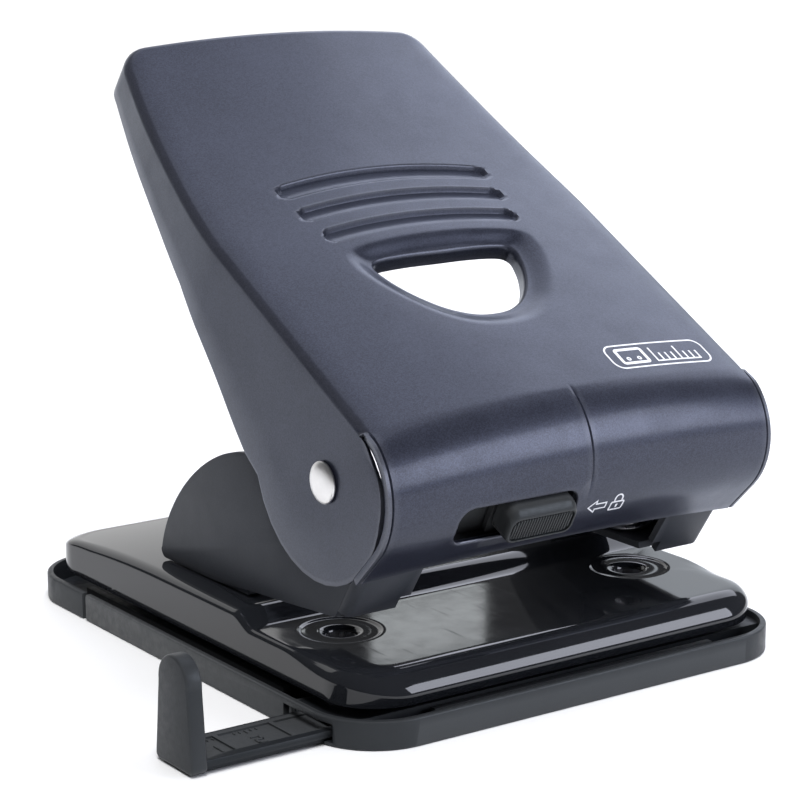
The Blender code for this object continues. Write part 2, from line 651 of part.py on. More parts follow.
def make_handle_shell():
    columns = 12
    corner_steps = 4
    inner_corner = REAR_CORNER - EDGE_ROUND
    barrel_rows = [-1.5, -6.0, -10.5, -15.0, -19.5, -24.0, -28.0, -BARREL_ARC, -34.5, -40.0]
    fan_rows = [1.6 * (k + 1) for k in range(18)]
    back_rows = [34.0, 42.0, 52.0, 62.0, 72.0, 82.0, 92.0, 102.0, 111.0, 118.0]
    rear = TOP_LENGTH - EDGE_ROUND
    rows = []
    for s in reversed(barrel_rows):
        rows.append((s, None))
    for s in fan_rows + back_rows:
        rows.append((s, 0.0))
    for k in range(corner_steps + 1):
        rows.append((rear - inner_corner, radians(90.0 * k / corner_steps)))
    vertices = []
    faces = []

    def add(point):
        vertices.append(point)
        return len(vertices) - 1

    grid = []
    rims = []
    for s0, turn in rows:
        lift = 0.0 if turn is None else turn
        s = s0 + (inner_corner * sin(lift))
        width = half_width(side_profile(min(s, 124.0))[0]) - EDGE_ROUND - inner_corner * (1.0 - cos(lift))
        line = []
        for c in range(columns + 1):
            x = width * (2.0 * c / columns - 1.0)
            along = s
            if turn is None and s < -BARREL_ARC - 1.0:
                droop = 3.0 * (x / 46.0) ** 2 - 3.5
                along = s - droop * (-s - BARREL_ARC) / (40.0 - BARREL_ARC)
            line.append(add(on_handle(x, along)))
        grid.append(line)
        rims.append((s, width, cos(lift), sin(lift), turn is None))
    for low, high in zip(grid, grid[1:]):
        for c in range(columns):
            faces.append((low[c], low[c + 1], high[c + 1], high[c]))

    outline = wall_bottom_outline()
    turns = [30.0, 60.0, 90.0]
    last = rims[-1]

    def fillet_ring(s, x, out_x, out_s, flat):
        ring = []
        for angle in turns:
            reach = EDGE_ROUND * sin(radians(angle))
            sink = 0.0 if flat else EDGE_ROUND * (1.0 - cos(radians(angle)))
            ring.append(on_handle(x + out_x * reach, s + out_s * reach, sink))
        return ring

    sides = {}
    for sign, first_column in ((-1.0, 0), (1.0, columns)):
        chain = []
        for k, (s, width, out_x, out_s, flat) in enumerate(rims):
            droop = 0.0
            if flat and s < -BARREL_ARC - 1.0:
                droop = (3.0 * (width / 46.0) ** 2 - 3.5) * (-s - BARREL_ARC) / (40.0 - BARREL_ARC)
            ring = [add(p) for p in fillet_ring(s - droop, sign * width, sign * out_x, out_s, flat)]
            chain.append([grid[k][first_column]] + ring)
        sides[sign] = chain
        for low, high in zip(chain, chain[1:]):
            for a in range(len(turns)):
                faces.append((low[a], low[a + 1], high[a + 1], high[a]))

    start = len(barrel_rows)
    front_targets = list(reversed(outline[5:]))
    fan_count = len(fan_rows)
    for sign in (-1.0, 1.0):
        chain = sides[sign][start:]
        walls = []
        for k, ring in enumerate(chain):
            top = vertices[ring[-1]]
            s = rims[start + k][0]
            if k < fan_count:
                pick = (k + 0.0) * (len(front_targets) - 1) / (fan_count - 1)
                a = int(pick)
                b = min(a + 1, len(front_targets) - 1)
                t = pick - a
                y = front_targets[a][0] * (1 - t) + front_targets[b][0] * t
                z = front_targets[a][1] * (1 - t) + front_targets[b][1] * t
                walls.append(add((top[0], y, z)))
            else:
                sink = wall_depth(s)
                y, z, ny, nz = side_profile(s)
                if k >= len(chain) - corner_steps - 1:
                    part = (k - len(chain) + corner_steps + 1) / corner_steps
                    sink = wall_depth(rear - inner_corner) * (1 - part) + REAR_FLANGE * part
                walls.append(add((top[0], top[1] - ny * (sink - EDGE_ROUND),
                                  top[2] - nz * (sink - EDGE_ROUND))))
        for k in range(len(walls) - 1):
            faces.append((chain[k][-1], walls[k], walls[k + 1], chain[k + 1][-1]))
        sides[sign] = (chain, walls)

    rear_rings = [[sides[-1.0][0][-1][a + 1] for a in range(3)] + [sides[-1.0][1][-1]]]
    s, width = last[0], last[1]
    for c in range(1, columns):
        x = width * (2.0 * c / columns - 1.0)
        ring = [add(p) for p in fillet_ring(s, x, 0.0, 1.0, False)]
        top = vertices[ring[-1]]
        y, z, ny, nz = side_profile(s)
        ring.append(add((top[0], top[1] - ny * (REAR_FLANGE - EDGE_ROUND),
                         top[2] - nz * (REAR_FLANGE - EDGE_ROUND))))
        rear_rings.append(ring)
    rear_rings.append([sides[1.0][0][-1][a + 1] for a in range(3)] + [sides[1.0][1][-1]])
    for c in range(columns):
        low = [grid[-1][c]] + rear_rings[c]
        high = [grid[-1][c + 1]] + rear_rings[c + 1]
        for a in range(4):
            faces.append((low[a], high[a], high[a + 1], low[a + 1]))
    shell = link("handle_shell", mesh_from("handle_shell", vertices, faces), HANDLE_PAINT)
    weld = bmesh.new()
    weld.from_mesh(shell.data)
    bmesh.ops.remove_doubles(weld, verts=weld.verts, dist=0.00001)
    bmesh.ops.recalc_face_normals(weld, faces=weld.faces)
    if sum(face.normal.z for face in weld.faces) < 0:
        bmesh.ops.reverse_faces(weld, faces=weld.faces)
    weld.to_mesh(shell.data)
    weld.free()
    sheet = shell.modifiers.new("sheet", "SOLIDIFY")
    sheet.thickness = HANDLE_SHEET * MM
    sheet.offset = -1.0
    sheet.use_even_offset = True
    sheet.use_rim = True
    settle(shell)
    cut(shell, hand_hole_cutter(), lock_slot_cutter())
    cut(shell, rod("handle_pivot_bore", "X", (-70.0, PIVOT_Y, PIVOT_Z), 140.0, 3.2, None, CUTTERS))
    return settle(shell, 30.0)


def wall_depth(s):
    """Depth of the side wall behind the lobe, square to the top face."""
    y, z, ny, nz = side_profile(s)
    outline = wall_bottom_outline()[:6]
    for (y0, z0), (y1, z1) in zip(outline, outline[1:]):
        ey, ez = y1 - y0, z1 - z0
        det = -ny * -ez + nz * -ey
        if abs(det) < 1e-9:
            continue
        depth = ((y0 - y) * -ez + (z0 - z) * ey) / det
        t = ((z0 - z) * -ny + (y0 - y) * nz) / det
        if -0.3 <= t <= 1.0 and depth > 0:
            return depth
    return 9.5


def hand_hole_cutter():
    """A half-moon through the top face, straight edge towards the back."""
    s = 38.0
    y, z, ny, nz = side_profile(s)
    outline = arc((0.0, 6.0), 19.0, 180, 360, 20)
    outline = [(x, max(-13.0, (v - 6.0) * 0.98 + 6.0)) for x, v in outline]
    outline += arc((14.0, 6.5), 5.0, 0, 90, 4) + arc((-14.0, 6.5), 5.0, 90, 180, 4)
    tilt = atan2(-ny, nz)
    place = Matrix.Translation(Vector((0.0, y, z)) * MM) @ Matrix.Rotation(tilt, 4, "X")
    return plate("hand_hole", "XY", outline, -20.0, 20.0, None, CUTTERS, place)


SLOT_ANGLE = 208.0


def barrel_frame(angle):
    """Local X stays along the handle, local Z points out of the barrel at the given angle."""
    a = radians(angle)
    out = Vector((0.0, cos(a), sin(a)))
    side = Vector((1.0, 0.0, 0.0))
    up = out.cross(side)
    turn = Matrix((side, up, out)).transposed().to_4x4()
    return Matrix.Translation(Vector((0.0, BARREL_Y, BARREL_Z)) * MM) @ turn


def lock_slot_cutter():
    outline = rounded_rectangle(-33.0, -2.5, -4.8, 4.8, 3.0, 4)
    return plate("lock_slot", "XY", outline, 8.0, 24.0, None, CUTTERS, barrel_frame(SLOT_ANGLE))


# Parts that ride with the handle --------------------------------------------------------------------
def make_lock():
    frame = barrel_frame(SLOT_ANGLE)
    button = plate("lock_button", "XY", rounded_rectangle(-21.5, -4.0, -4.2, 4.2, 2.4, 4), 13.4, 19.0,
                   LOCK_PLASTIC,
                   None, frame)
    bevel(button, 0.5, 1)
    grips = [plate("grip_%d" % k, "XY", rounded_rectangle(x, x + 1.0, -3.4, 3.4, 0.45, 2), 18.4, 20.0,
                   None, CUTTERS, frame)
             for k, x in enumerate((-19.0, -16.6, -14.2, -11.8, -9.4, -7.0))]
    cut(button, *grips)
    settle(button)
    slider = plate("lock_slider", "XY", rounded_rectangle(-21.7, -3.8, -6.3, 5.6, 1.0, 3), 11.4, 12.6,
                   PLATED_STEEL,
                   None, frame)
    stem = plate("lock_stem", "XY", rounded_rectangle(-15.0, -10.5, -1.6, 1.6, 0.6, 3), 12.4, 13.1, None,
                 CUTTERS, frame)
    join(slider, stem)
    settle(slider)
    return [button, slider]


def make_lock_guide():
    """The moulded channel behind the slot that the lock slides in."""
    frame = barrel_frame(SLOT_ANGLE)
    channel = plate("lock_guide", "XY", rounded_rectangle(-32.6, 1.6, -8.2, 8.2, 1.0, 3), 9.8, 10.8,
                    LOCK_PLASTIC, None, frame)
    for name, low, high in (("channel_wall_low", -8.2, -7.0), ("channel_wall_high", 7.0, 8.2)):
        outline = [(-32.0, low), (1.0, low), (1.0, high), (-32.0, high)]
        join(channel, plate(name, "XY", outline, 10.2, 12.2, None, CUTTERS, frame))
    return settle(channel)


def make_handle_parts():
    items = [make_handle_shell()]
    press = rod("press_rod", "X", (-45.9, PRESS_ROD_Y, PRESS_ROD_Z), 91.8, PRESS_ROD_RADIUS, PLATED_STEEL)
    bevel(press, 0.5, 1)
    items.append(settle(press))
    for side, sign in (("left", -1.0), ("right", 1.0)):
        ring = arc((PRESS_ROD_Y, PRESS_ROD_Z), 6.0, 200, 340, 8)
        outline = ring + [(-27.0, top_height(-27.0) - 3.0), (-44.0, top_height(-44.0) - 3.0)]
        low_x, high_x = sorted((sign * 26.0, sign * 27.6))
        web = plate("press_bracket_" + side, "YZ", outline, low_x, high_x, FRAME_PAINT)
        low_x, high_x = sorted((sign * 15.0, sign * 27.0))
        along = [(-44.0, top_height(-44.0) - 3.2), (-27.0, top_height(-27.0) - 3.2),
                 (-27.6, top_height(-27.6) - 1.7), (-44.6, top_height(-44.6) - 1.7)]
        tab = plate("bracket_tab_" + side, "YZ", along, low_x, high_x, None, CUTTERS)
        join(web, tab)
        cut(web, rod("press_bore_" + side, "X", (sign * 26.8 - 5.0, PRESS_ROD_Y, PRESS_ROD_Z), 10.0,
                     PRESS_ROD_RADIUS + GAP, None, CUTTERS))
        items.append(settle(web))
        head = HANDLE_HALF + GAP
        inner = CHEEK_X - CHEEK_SHEET - GAP
        half = [(0.0, head + 1.5), (1.8, head + 1.3), (3.4, head + 0.8), (4.5, head), (3.0, head),
                (3.0, inner),
                (4.5, inner), (4.5, inner - 1.5), (0.0, inner - 1.5)]
        rivet = turned("pivot_rivet_" + side, "X", (0.0, 0.0, 0.0), half, PLATED_STEEL)
        if sign < 0:
            rivet.data.transform(Matrix.Rotation(pi, 4, "Z"))
        rivet.data.transform(Matrix.Translation((0.0, PIVOT_Y * MM, PIVOT_Z * MM)))
        items.append(rivet)
        washer = turned("pivot_washer_" + side, "X", (sign * 49.25 - 0.15, PIVOT_Y, PIVOT_Z),
                        ring_profile(3.25, 7.0, 0.0, 0.3), NYLON)
        items.append(washer)
    return items


# Hinge and paper guide ------------------------------------------------------------------------------
def make_hinge():
    clips = []
    for side, sign in (("left", -1.0), ("right", 1.0)):
        outline = arc((HINGE_Y, HINGE_Z), 2.9, -120, 60, 8) + [(58.0, 12.2), (42.0, 13.4), (42.0, 11.0),
                                                               (52.0, 9.0)]
        low_x, high_x = sorted((sign * 31.8, sign * 33.2))
        clip = plate("hinge_clip_" + side, "YZ", outline, low_x, high_x, PLATED_STEEL)
        low_x, high_x = sorted((sign * 32.0, sign * 44.0))
        foot = box("hinge_foot_" + side, (low_x, 42.02, 12.0), (high_x, 54.0, 13.2), None, CUTTERS)
        join(clip, foot)
        cut(clip, rod("clip_bore_" + side, "X", (sign * 32.5 - 5.0, HINGE_Y, HINGE_Z), 10.0,
                      HINGE_PIN_RADIUS + GAP,
                      None, CUTTERS))
        clips.append(settle(clip))
    pin = rod("tray_hinge_pin", "X", (-36.0, HINGE_Y, HINGE_Z), 72.0, HINGE_PIN_RADIUS, PLATED_STEEL, None,
              16)
    bevel(pin, 0.3, 1)
    settle(pin)
    return clips


def make_paper_guide():
    rails = box("paper_guide", (GUIDE_TAB_X + 2.0, GUIDE_Y - 6.8, 1.6),
                (GUIDE_INNER_X, GUIDE_Y + 6.8, 3.1), DARK_PLASTIC)
    body = box("guide_body", (GUIDE_TAB_X + 2.0, GUIDE_Y - 5.8, 0.4),
               (GUIDE_INNER_X - 0.02, GUIDE_Y + 5.8, 2.0), None, CUTTERS)
    crest = arc((GUIDE_Y, TAB_HEIGHT - 5.7), 5.7, -6, 186, 12)
    outline = [(GUIDE_Y - 7.2, 1.3), (GUIDE_Y - 6.2, 0.4), (GUIDE_Y + 6.2, 0.4),
               (GUIDE_Y + 7.2, 1.3)] + crest
    tab = plate("guide_tab", "YZ", outline, GUIDE_TAB_X, GUIDE_TAB_X + 3.7, None, CUTTERS)
    bevel(tab, 0.6, 2, 50.0)
    join(rails, body, tab)
    return settle(rails)


def main():
    make_chip_tray()
    make_pads()
    base_parts = [make_base_plate(), make_die_plate()]
    for side, sign in (("left", -1.0), ("right", 1.0)):
        base_parts.append(make_frame(side, sign))
        make_frame_rivets(side, sign)
        make_punch_unit(side, sign)
    handle_parts = make_handle_parts() + [make_lock_guide()]
    lock_parts = make_lock()
    base_parts += make_hinge()
    guide = make_paper_guide()
    hang(pivot("handle_axis", (0.0, PIVOT_Y, PIVOT_Z)), *handle_parts, *lock_parts)
    hang(pivot("guide_axis", (GUIDE_TAB_X, GUIDE_Y, 2.0)), guide)
    base_axis = pivot("base_axis", (0.0, HINGE_Y, HINGE_Z))
    hang(base_axis, *base_parts)


main()
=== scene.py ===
import bpy
import bmesh
import json
from math import atan2, cos, degrees, hypot, pi, radians, sin, sqrt
from mathutils import Matrix, Vector


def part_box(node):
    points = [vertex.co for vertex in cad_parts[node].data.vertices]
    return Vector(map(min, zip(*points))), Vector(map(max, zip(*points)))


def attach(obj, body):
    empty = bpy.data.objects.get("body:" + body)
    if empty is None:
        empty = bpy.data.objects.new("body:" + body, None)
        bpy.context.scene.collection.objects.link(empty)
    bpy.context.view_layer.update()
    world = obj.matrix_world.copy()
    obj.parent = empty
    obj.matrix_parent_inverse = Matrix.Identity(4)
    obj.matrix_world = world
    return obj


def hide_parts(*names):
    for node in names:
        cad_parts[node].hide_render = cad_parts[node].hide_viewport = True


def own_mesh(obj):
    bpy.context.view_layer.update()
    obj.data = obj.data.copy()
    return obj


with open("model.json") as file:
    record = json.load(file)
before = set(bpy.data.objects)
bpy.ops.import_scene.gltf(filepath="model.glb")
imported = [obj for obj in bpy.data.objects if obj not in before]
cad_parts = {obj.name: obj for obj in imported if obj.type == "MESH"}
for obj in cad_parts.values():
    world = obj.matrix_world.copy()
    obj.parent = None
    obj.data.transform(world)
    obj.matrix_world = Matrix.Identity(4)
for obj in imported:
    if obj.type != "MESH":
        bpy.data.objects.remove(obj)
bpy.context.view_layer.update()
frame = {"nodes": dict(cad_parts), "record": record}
NODES = frame["nodes"]
MM = 0.001
MERGE = 0.000005
MOST_OFFSET = 1.45
SIDES = (("left", -1.0), ("right", 1.0))

def placed(name, data):
    """A new object in the scene."""
    made = bpy.data.objects.new(name, data)
    bpy.context.scene.collection.objects.link(made)
    return made


# Camera ----------------------------------------
camera_data = bpy.data.cameras.new("camera")
camera_data.lens = 114.36
camera_data.sensor_width = 36.0
camera = placed("camera", camera_data)
camera.location = (-0.32728, -0.46452, 0.18495)
camera.rotation_euler = (radians(76.88), 0.0, radians(-35.28))
bpy.context.scene.camera = camera


# Materials ----------------------------------------
class Paint:
    """A node material built up in a few lines."""

    def __init__(self, name):
        self.material = bpy.data.materials.new(name)
        self.material.use_nodes = True
        self.tree = self.material.node_tree
        self.shader = self.tree.nodes["Principled BSDF"]
        self.coords = self.tree.nodes.new("ShaderNodeTexCoord").outputs["Object"]

    def set(self, **values):
        for key, value in values.items():
            self.shader.inputs[key.replace("_", " ")].default_value = value
        return self

    def node(self, kind, **settings):
        made = self.tree.nodes.new("ShaderNode" + kind)
        for key, value in settings.items():
            if key in made.inputs:
                made.inputs[key].default_value = value
            else:
                setattr(made, key, value)
        return made

    def join(self, a, b):
        self.tree.links.new(a, b)

    def noise(self, size, detail=2.0, roughness=0.5, stretch=(1.0, 1.0, 1.0)):
        """Noise whose features are about size metres across, 0 to 1."""
        mapping = self.node("Mapping")
        mapping.inputs["Scale"].default_value = stretch
        self.join(self.coords, mapping.inputs["Vector"])
        made = self.node("TexNoise", Scale=1.0 / size, Detail=detail, Roughness=roughness)
        self.join(mapping.outputs["Vector"], made.inputs["Vector"])
        return made.outputs["Fac"]

    def cells(self, size):
        made = self.node("TexVoronoi", Scale=1.0 / size)
        self.join(self.coords, made.inputs["Vector"])
        return made.outputs["Color"]

    def ramp(self, value, low, high, from_low=0.0, from_high=1.0):
        made = self.node("MapRange")
        made.inputs["From Min"].default_value = from_low
        made.inputs["From Max"].default_value = from_high
        made.inputs["To Min"].default_value = low
        made.inputs["To Max"].default_value = high
        self.join(value, made.inputs["Value"])
        return made.outputs["Result"]

    def blend(self, value, base, colour):
        """From a base, which is a colour or a socket, to a colour as value rises."""
        made = self.node("Mix", data_type="RGBA")
        if isinstance(base, tuple):
            made.inputs[6].default_value = (*base, 1.0)
        else:
            self.join(base, made.inputs[6])
        made.inputs[7].default_value = (*colour, 1.0)
        self.join(value, made.inputs[0])
        return made.outputs[2]

    def math(self, operation, a, b):
        made = self.node("Math", operation=operation)
        for socket, value in zip(made.inputs, (a, b)):
            if isinstance(value, (int, float)):
                socket.default_value = value
            else:
                self.join(value, socket)
        return made.outputs[0]

    def edges(self):
        """0 on flats, rising to 1 on convex edges."""
        return self.ramp(self.node("NewGeometry").outputs["Pointiness"], 0.0, 1.0, 0.505, 0.56)

    def rub_and_highlight_edges(self, share, socket, colour):
        """A base colour lightened towards another on the convex edges: partly rubbed wear, partly a painted
        highlight.
        """
        self.colour(self.blend(self.math("MULTIPLY", self.edges(), share), socket, colour))

    def colour(self, socket):
        self.join(socket, self.shader.inputs["Base Color"])
        return self

    def roughness(self, socket):
        self.join(socket, self.shader.inputs["Roughness"])
        return self

    def bumps(self, *layers):
        """Each layer is (height socket, depth in metres, strength)."""
        previous = None
        for height, distance, strength in layers:
            made = self.node("Bump", Strength=strength, Distance=distance)
            self.join(height, made.inputs["Height"])
            if previous is not None:
                self.join(previous, made.inputs["Normal"])
            previous = made.outputs["Normal"]
        self.join(previous, self.shader.inputs["Normal"])
        return self


def lacquer(name, dark, light, rough, metallic, coat):
    """Sprayed lacquer: fine flake, orange peel, and the edges lightened, partly rubbed wear and partly a
    painted highlight.
    """
    paint = Paint(name)
    paint.set(Metallic=metallic, Coat_Weight=coat, Coat_Roughness=0.16, IOR=1.5)
    paint.set(Specular_IOR_Level=0.42 if metallic else 0.11, Specular_Tint=(0.80, 0.87, 1.0, 1.0))
    split = paint.node("SeparateColor")
    paint.join(paint.cells(0.00022), split.inputs[0])
    cloud = paint.noise(0.018, 3.0)
    speck = paint.ramp(split.outputs[0], 0.0, 0.85)
    tone = paint.math("ADD", speck, paint.ramp(cloud, -0.12, 0.12, 0.3, 0.7))
    # Convex edges lightened towards pale grey: rubbed wear and a painted highlight.
    paint.rub_and_highlight_edges(0.10, paint.blend(tone, dark, light), (0.55, 0.56, 0.60))
    paint.roughness(paint.ramp(paint.noise(0.006, 4.0), rough - 0.04, rough + 0.05, 0.3, 0.7))
    paint.bumps((paint.noise(0.0011, 2.0), 0.00003, 0.35), (paint.noise(0.00035, 1.0), 0.00001, 0.35))
    return paint.material


def moulded(name, dark, light, rough, grain=0.00045, relief=0.00004):
    """Injection-moulded plastic with a spark-eroded grain."""
    paint = Paint(name)
    paint.set(IOR=1.45, Specular_IOR_Level=0.24, Specular_Tint=(0.86, 0.95, 1.0, 1.0))
    # Convex edges lightened towards grey, as on the lacquer: rubbed wear and a painted highlight.
    paint.rub_and_highlight_edges(0.12, paint.blend(paint.noise(0.009, 4.0), dark, light), (0.28, 0.29, 0.30))
    paint.roughness(paint.ramp(paint.noise(0.0016, 5.0), rough - 0.07, rough + 0.08, 0.3, 0.7))
    paint.bumps((paint.noise(grain, 3.0, 0.6), relief, 0.6))
    return paint.material


def enamel(name):
    """Thick stoved black enamel, mirror-smooth with a faint haze and hairlines."""
    paint = Paint(name)
    paint.set(IOR=1.5, Specular_IOR_Level=0.5)
    paint.colour(paint.blend(paint.noise(0.02, 3.0), (0.0085, 0.0095, 0.012), (0.013, 0.014, 0.017)))
    hairlines = paint.noise(0.0012, 2.0, 0.5, (1.0, 0.08, 1.0))
    paint.roughness(paint.math("ADD", paint.ramp(paint.noise(0.004, 5.0), 0.05, 0.08, 0.35, 0.7),
                               paint.ramp(hairlines, 0.0, 0.05, 0.62, 0.75)))
    paint.bumps((paint.noise(0.012, 1.0), 0.00002, 0.07))
    return paint.material


def metal(name, tint, rough, stretch=(1.0, 1.0, 1.0)):
    """Plated or ground steel: fine lines in the finish and patchy haze."""
    paint = Paint(name)
    paint.set(Metallic=1.0)
    shade = tuple(c * 0.82 for c in tint)
    paint.colour(paint.blend(paint.noise(0.003, 4.0), shade, tint))
    lines = paint.noise(0.0006, 3.0, 0.6, stretch)
    paint.roughness(paint.ramp(lines, rough - 0.06, rough + 0.09, 0.3, 0.7))
    paint.bumps((lines, 0.000012, 0.5))
    return paint.material


MATERIALS = {
    "handle_paint": lacquer("handle_lacquer", (0.021, 0.023, 0.035), (0.042, 0.046, 0.069), 0.34, 0.42, 0.18),
    "frame_paint": lacquer("frame_lacquer", (0.010, 0.012, 0.017), (0.016, 0.020, 0.028), 0.38, 0.0, 0.0),
    "base_enamel": enamel("base_enamel"),
    "dark_plastic": moulded("tray_plastic", (0.010, 0.011, 0.013), (0.016, 0.018, 0.021), 0.40),
    "lock_plastic": moulded("lock_plastic", (0.008, 0.009, 0.010), (0.013, 0.014, 0.015), 0.34,
                            0.0003, 0.00002),
    # Near-black for parts deep in the lock slot: painted shade, not their own finish.
    "painted_shade_black": moulded("painted_shade_black", (0.002, 0.002, 0.0025), (0.004, 0.004, 0.005), 0.62),
    "plated_steel": metal("plated_steel", (0.90, 0.89, 0.88), 0.34),
    "tool_steel": metal("tool_steel", (0.45, 0.45, 0.47), 0.30, (1.0, 1.0, 0.06)),
    "spring_steel": metal("spring_steel", (0.50, 0.50, 0.52), 0.30),
    "nylon": moulded("nylon_washer", (0.55, 0.53, 0.48), (0.66, 0.64, 0.58), 0.50, 0.0006, 0.00003),
    "rubber": moulded("rubber_pad", (0.016, 0.016, 0.017), (0.024, 0.024, 0.025), 0.84, 0.0005, 0.00005),
}
SLOT_OF = {entry["node"]: entry["material_slot"] for entry in frame["record"]["subparts"]}
for name, node in NODES.items():
    node.data.materials.clear()
    node.data.materials.append(MATERIALS[SLOT_OF[name]])
# The plated-steel slider and its guide take this near-black as painted shade for their place in the slot.
for name in ("lock_slider", "lock_guide"):
    NODES[name].data.materials[0] = MATERIALS["painted_shade_black"]


def ink(name, colour, rough):
    """Printed marks: one tone with a fine ink grain."""
    paint = Paint(name)
    paint.colour(paint.blend(paint.noise(0.0008, 4.0), tuple(c * 0.88 for c in colour), colour))
    paint.roughness(paint.ramp(paint.noise(0.0007, 3.0), rough - 0.05, rough + 0.08, 0.3, 0.7))
    return paint.material


PRINT = ink("silver_print", (0.80, 0.81, 0.85), 0.45)


# Mesh helpers ----------------------------------------
def piece(name, mesh, slot, body, *nodes, smooth=32.0, material=None):
    """A finished, named piece of the object, riding on its body."""
    made = placed(name, mesh)
    mesh.materials.clear()
    mesh.materials.append(material or MATERIALS[slot])
    mesh.shade_smooth()
    mesh.set_sharp_from_angle(angle=radians(smooth))
    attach(made, body)
    if nodes:
        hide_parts(*nodes)
    return made


def evaluated(item):
    """The mesh of an object with its modifiers applied, after which the object is gone."""
    bpy.context.view_layer.update()
    mesh = bpy.data.meshes.new_from_object(item.evaluated_get(bpy.context.evaluated_depsgraph_get()))
    bpy.data.objects.remove(item, do_unlink=True)
    return mesh


def welded(mesh, outward=False):
    """The mesh with points closer than MERGE made one."""
    shape = bmesh.new()
    shape.from_mesh(mesh)
    bmesh.ops.remove_doubles(shape, verts=shape.verts, dist=MERGE)
    if outward:
        bmesh.ops.recalc_face_normals(shape, faces=shape.faces)
    shape.to_mesh(mesh)
    shape.free()
    return mesh


def mesh_of(vertices, faces):
    mesh = bpy.data.meshes.new("piece")
    mesh.from_pydata([Vector(v) * MM for v in vertices], [], faces)
    return welded(mesh, outward=True)


def tube(rings, closed=False):
    """A skin over equal rings of points, joined end to end or else capped at both ends."""
    count = len(rings[0])
    faces = []
    for k in range(len(rings) if closed else len(rings) - 1):
        a, b = k * count, (k + 1) % len(rings) * count
        faces += [(a + j, a + (j + 1) % count, b + (j + 1) % count, b + j) for j in range(count)]
    if not closed:
        last = (len(rings) - 1) * count
        faces += [tuple(range(count)), tuple(range(last, last + count))]
    return mesh_of([point for ring in rings for point in ring], faces)


PLANES = {
    "XY": Matrix.Identity(4),
    "YZ": Matrix(((0, 0, 1, 0), (1, 0, 0, 0), (0, 1, 0, 0), (0, 0, 0, 1))),
}


def slab(plane, outline, low, high, place=None):
    """A flat outline in the XY or YZ plane, thick from low to high along the plane's normal."""
    count = len(outline)
    shape = bmesh.new()
    lower = [shape.verts.new((a * MM, b * MM, low * MM)) for a, b in outline]
    upper = [shape.verts.new((a * MM, b * MM, high * MM)) for a, b in outline]
    shape.faces.new(list(reversed(lower)))
    shape.faces.new(upper)
    for k in range(count):
        shape.faces.new((lower[k], lower[(k + 1) % count], upper[(k + 1) % count], upper[k]))
    bmesh.ops.recalc_face_normals(shape, faces=shape.faces)
    bmesh.ops.transform(shape, matrix=(place or Matrix.Identity(4)) @ PLANES[plane], verts=shape.verts)
    mesh = bpy.data.meshes.new("piece")
    shape.to_mesh(mesh)
    shape.free()
    return mesh


def block(low, high):
    x0, y0, z0 = low
    x1, y1, z1 = high
    return slab("XY", [(x0, y0), (x1, y0), (x1, y1), (x0, y1)], z0, z1)


TURN = {"X": Matrix.Rotation(pi / 2, 4, "Y"), "Z": Matrix.Identity(4)}


def turned(axis, start, profile, sides=48):
    """A solid of revolution; profile is (radius, distance along the axis)."""
    rings = []
    vertices = []
    for radius, height in profile:
        if radius < 1e-6:
            vertices.append((0.0, 0.0, height))
            rings.append([len(vertices) - 1] * sides)
            continue
        rings.append(list(range(len(vertices), len(vertices) + sides)))
        for k in range(sides):
            a = 2 * pi * k / sides
            vertices.append((radius * cos(a), radius * sin(a), height))
    faces = []
    for low, high in zip(rings, rings[1:]):
        for k in range(sides):
            corners = [low[k], low[(k + 1) % sides], high[(k + 1) % sides], high[k]]
            kept = list(dict.fromkeys(corners))
            if len(kept) > 2:
                faces.append(kept)
    mesh = mesh_of(vertices, faces)
    mesh.transform(Matrix.Translation(Vector(start) * MM) @ TURN[axis])
    return mesh


def rod(axis, start, radius, length, sides):
    """A plain round bar."""
    return turned(axis, start, [(0, length), (radius, length), (radius, 0.0), (0, 0.0)], sides)


def boolean(mesh, others, operation="DIFFERENCE"):
    item = placed("scratch", mesh)
    helpers = []
    for other in others:
        helper = placed("scratch", other)
        helpers.append(helper)
        step = item.modifiers.new("cut", "BOOLEAN")
        step.operation = operation
        step.solver = "EXACT"
        step.object = helper
    result = welded(evaluated(item))
    for helper in helpers:
        bpy.data.objects.remove(helper, do_unlink=True)
    return result


def softened(mesh, width, segments=3, angle=35.0):
    item = placed("scratch", mesh)
    step = item.modifiers.new("bevel", "BEVEL")
    step.width = width * MM
    step.segments = segments
    step.limit_method = "ANGLE"
    step.angle_limit = radians(angle)
    return welded(evaluated(item))


def joined(*meshes):
    """Separate solids in one mesh."""
    shape = bmesh.new()
    for mesh in meshes:
        shape.from_mesh(mesh)
    mesh = bpy.data.meshes.new("piece")
    shape.to_mesh(mesh)
    shape.free()
    return mesh


def arc(centre, radius, start, end, count):
    angles = [radians(start + (end - start) * k / count) for k in range(count + 1)]
    return [(centre[0] + radius * cos(a), centre[1] + radius * sin(a)) for a in angles]


def rounded_rectangle(left, right, front, back, radius, count=12):
    points = []
    for x, y, start in ((left + radius, front + radius, 180), (right - radius, front + radius, 270),
                        (right - radius, back - radius, 0), (left + radius, back - radius, 90)):
        points += arc((x, y), radius, start, start + 90, count)
    return points


def ease(t):
    t = min(1.0, max(0.0, t))
    return t * t * (3.0 - 2.0 * t)


def spread(stops):
    """Numbers running through (value, steps to the next) stops."""
    values = []
    for (value, steps), (after, _) in zip(stops, stops[1:]):
        values += [value + (after - value) * k / steps for k in range(steps)]
    return values + [stops[-1][0]]


def nearest(values, wanted):
    return min(range(len(values)), key=lambda k: abs(values[k] - wanted))


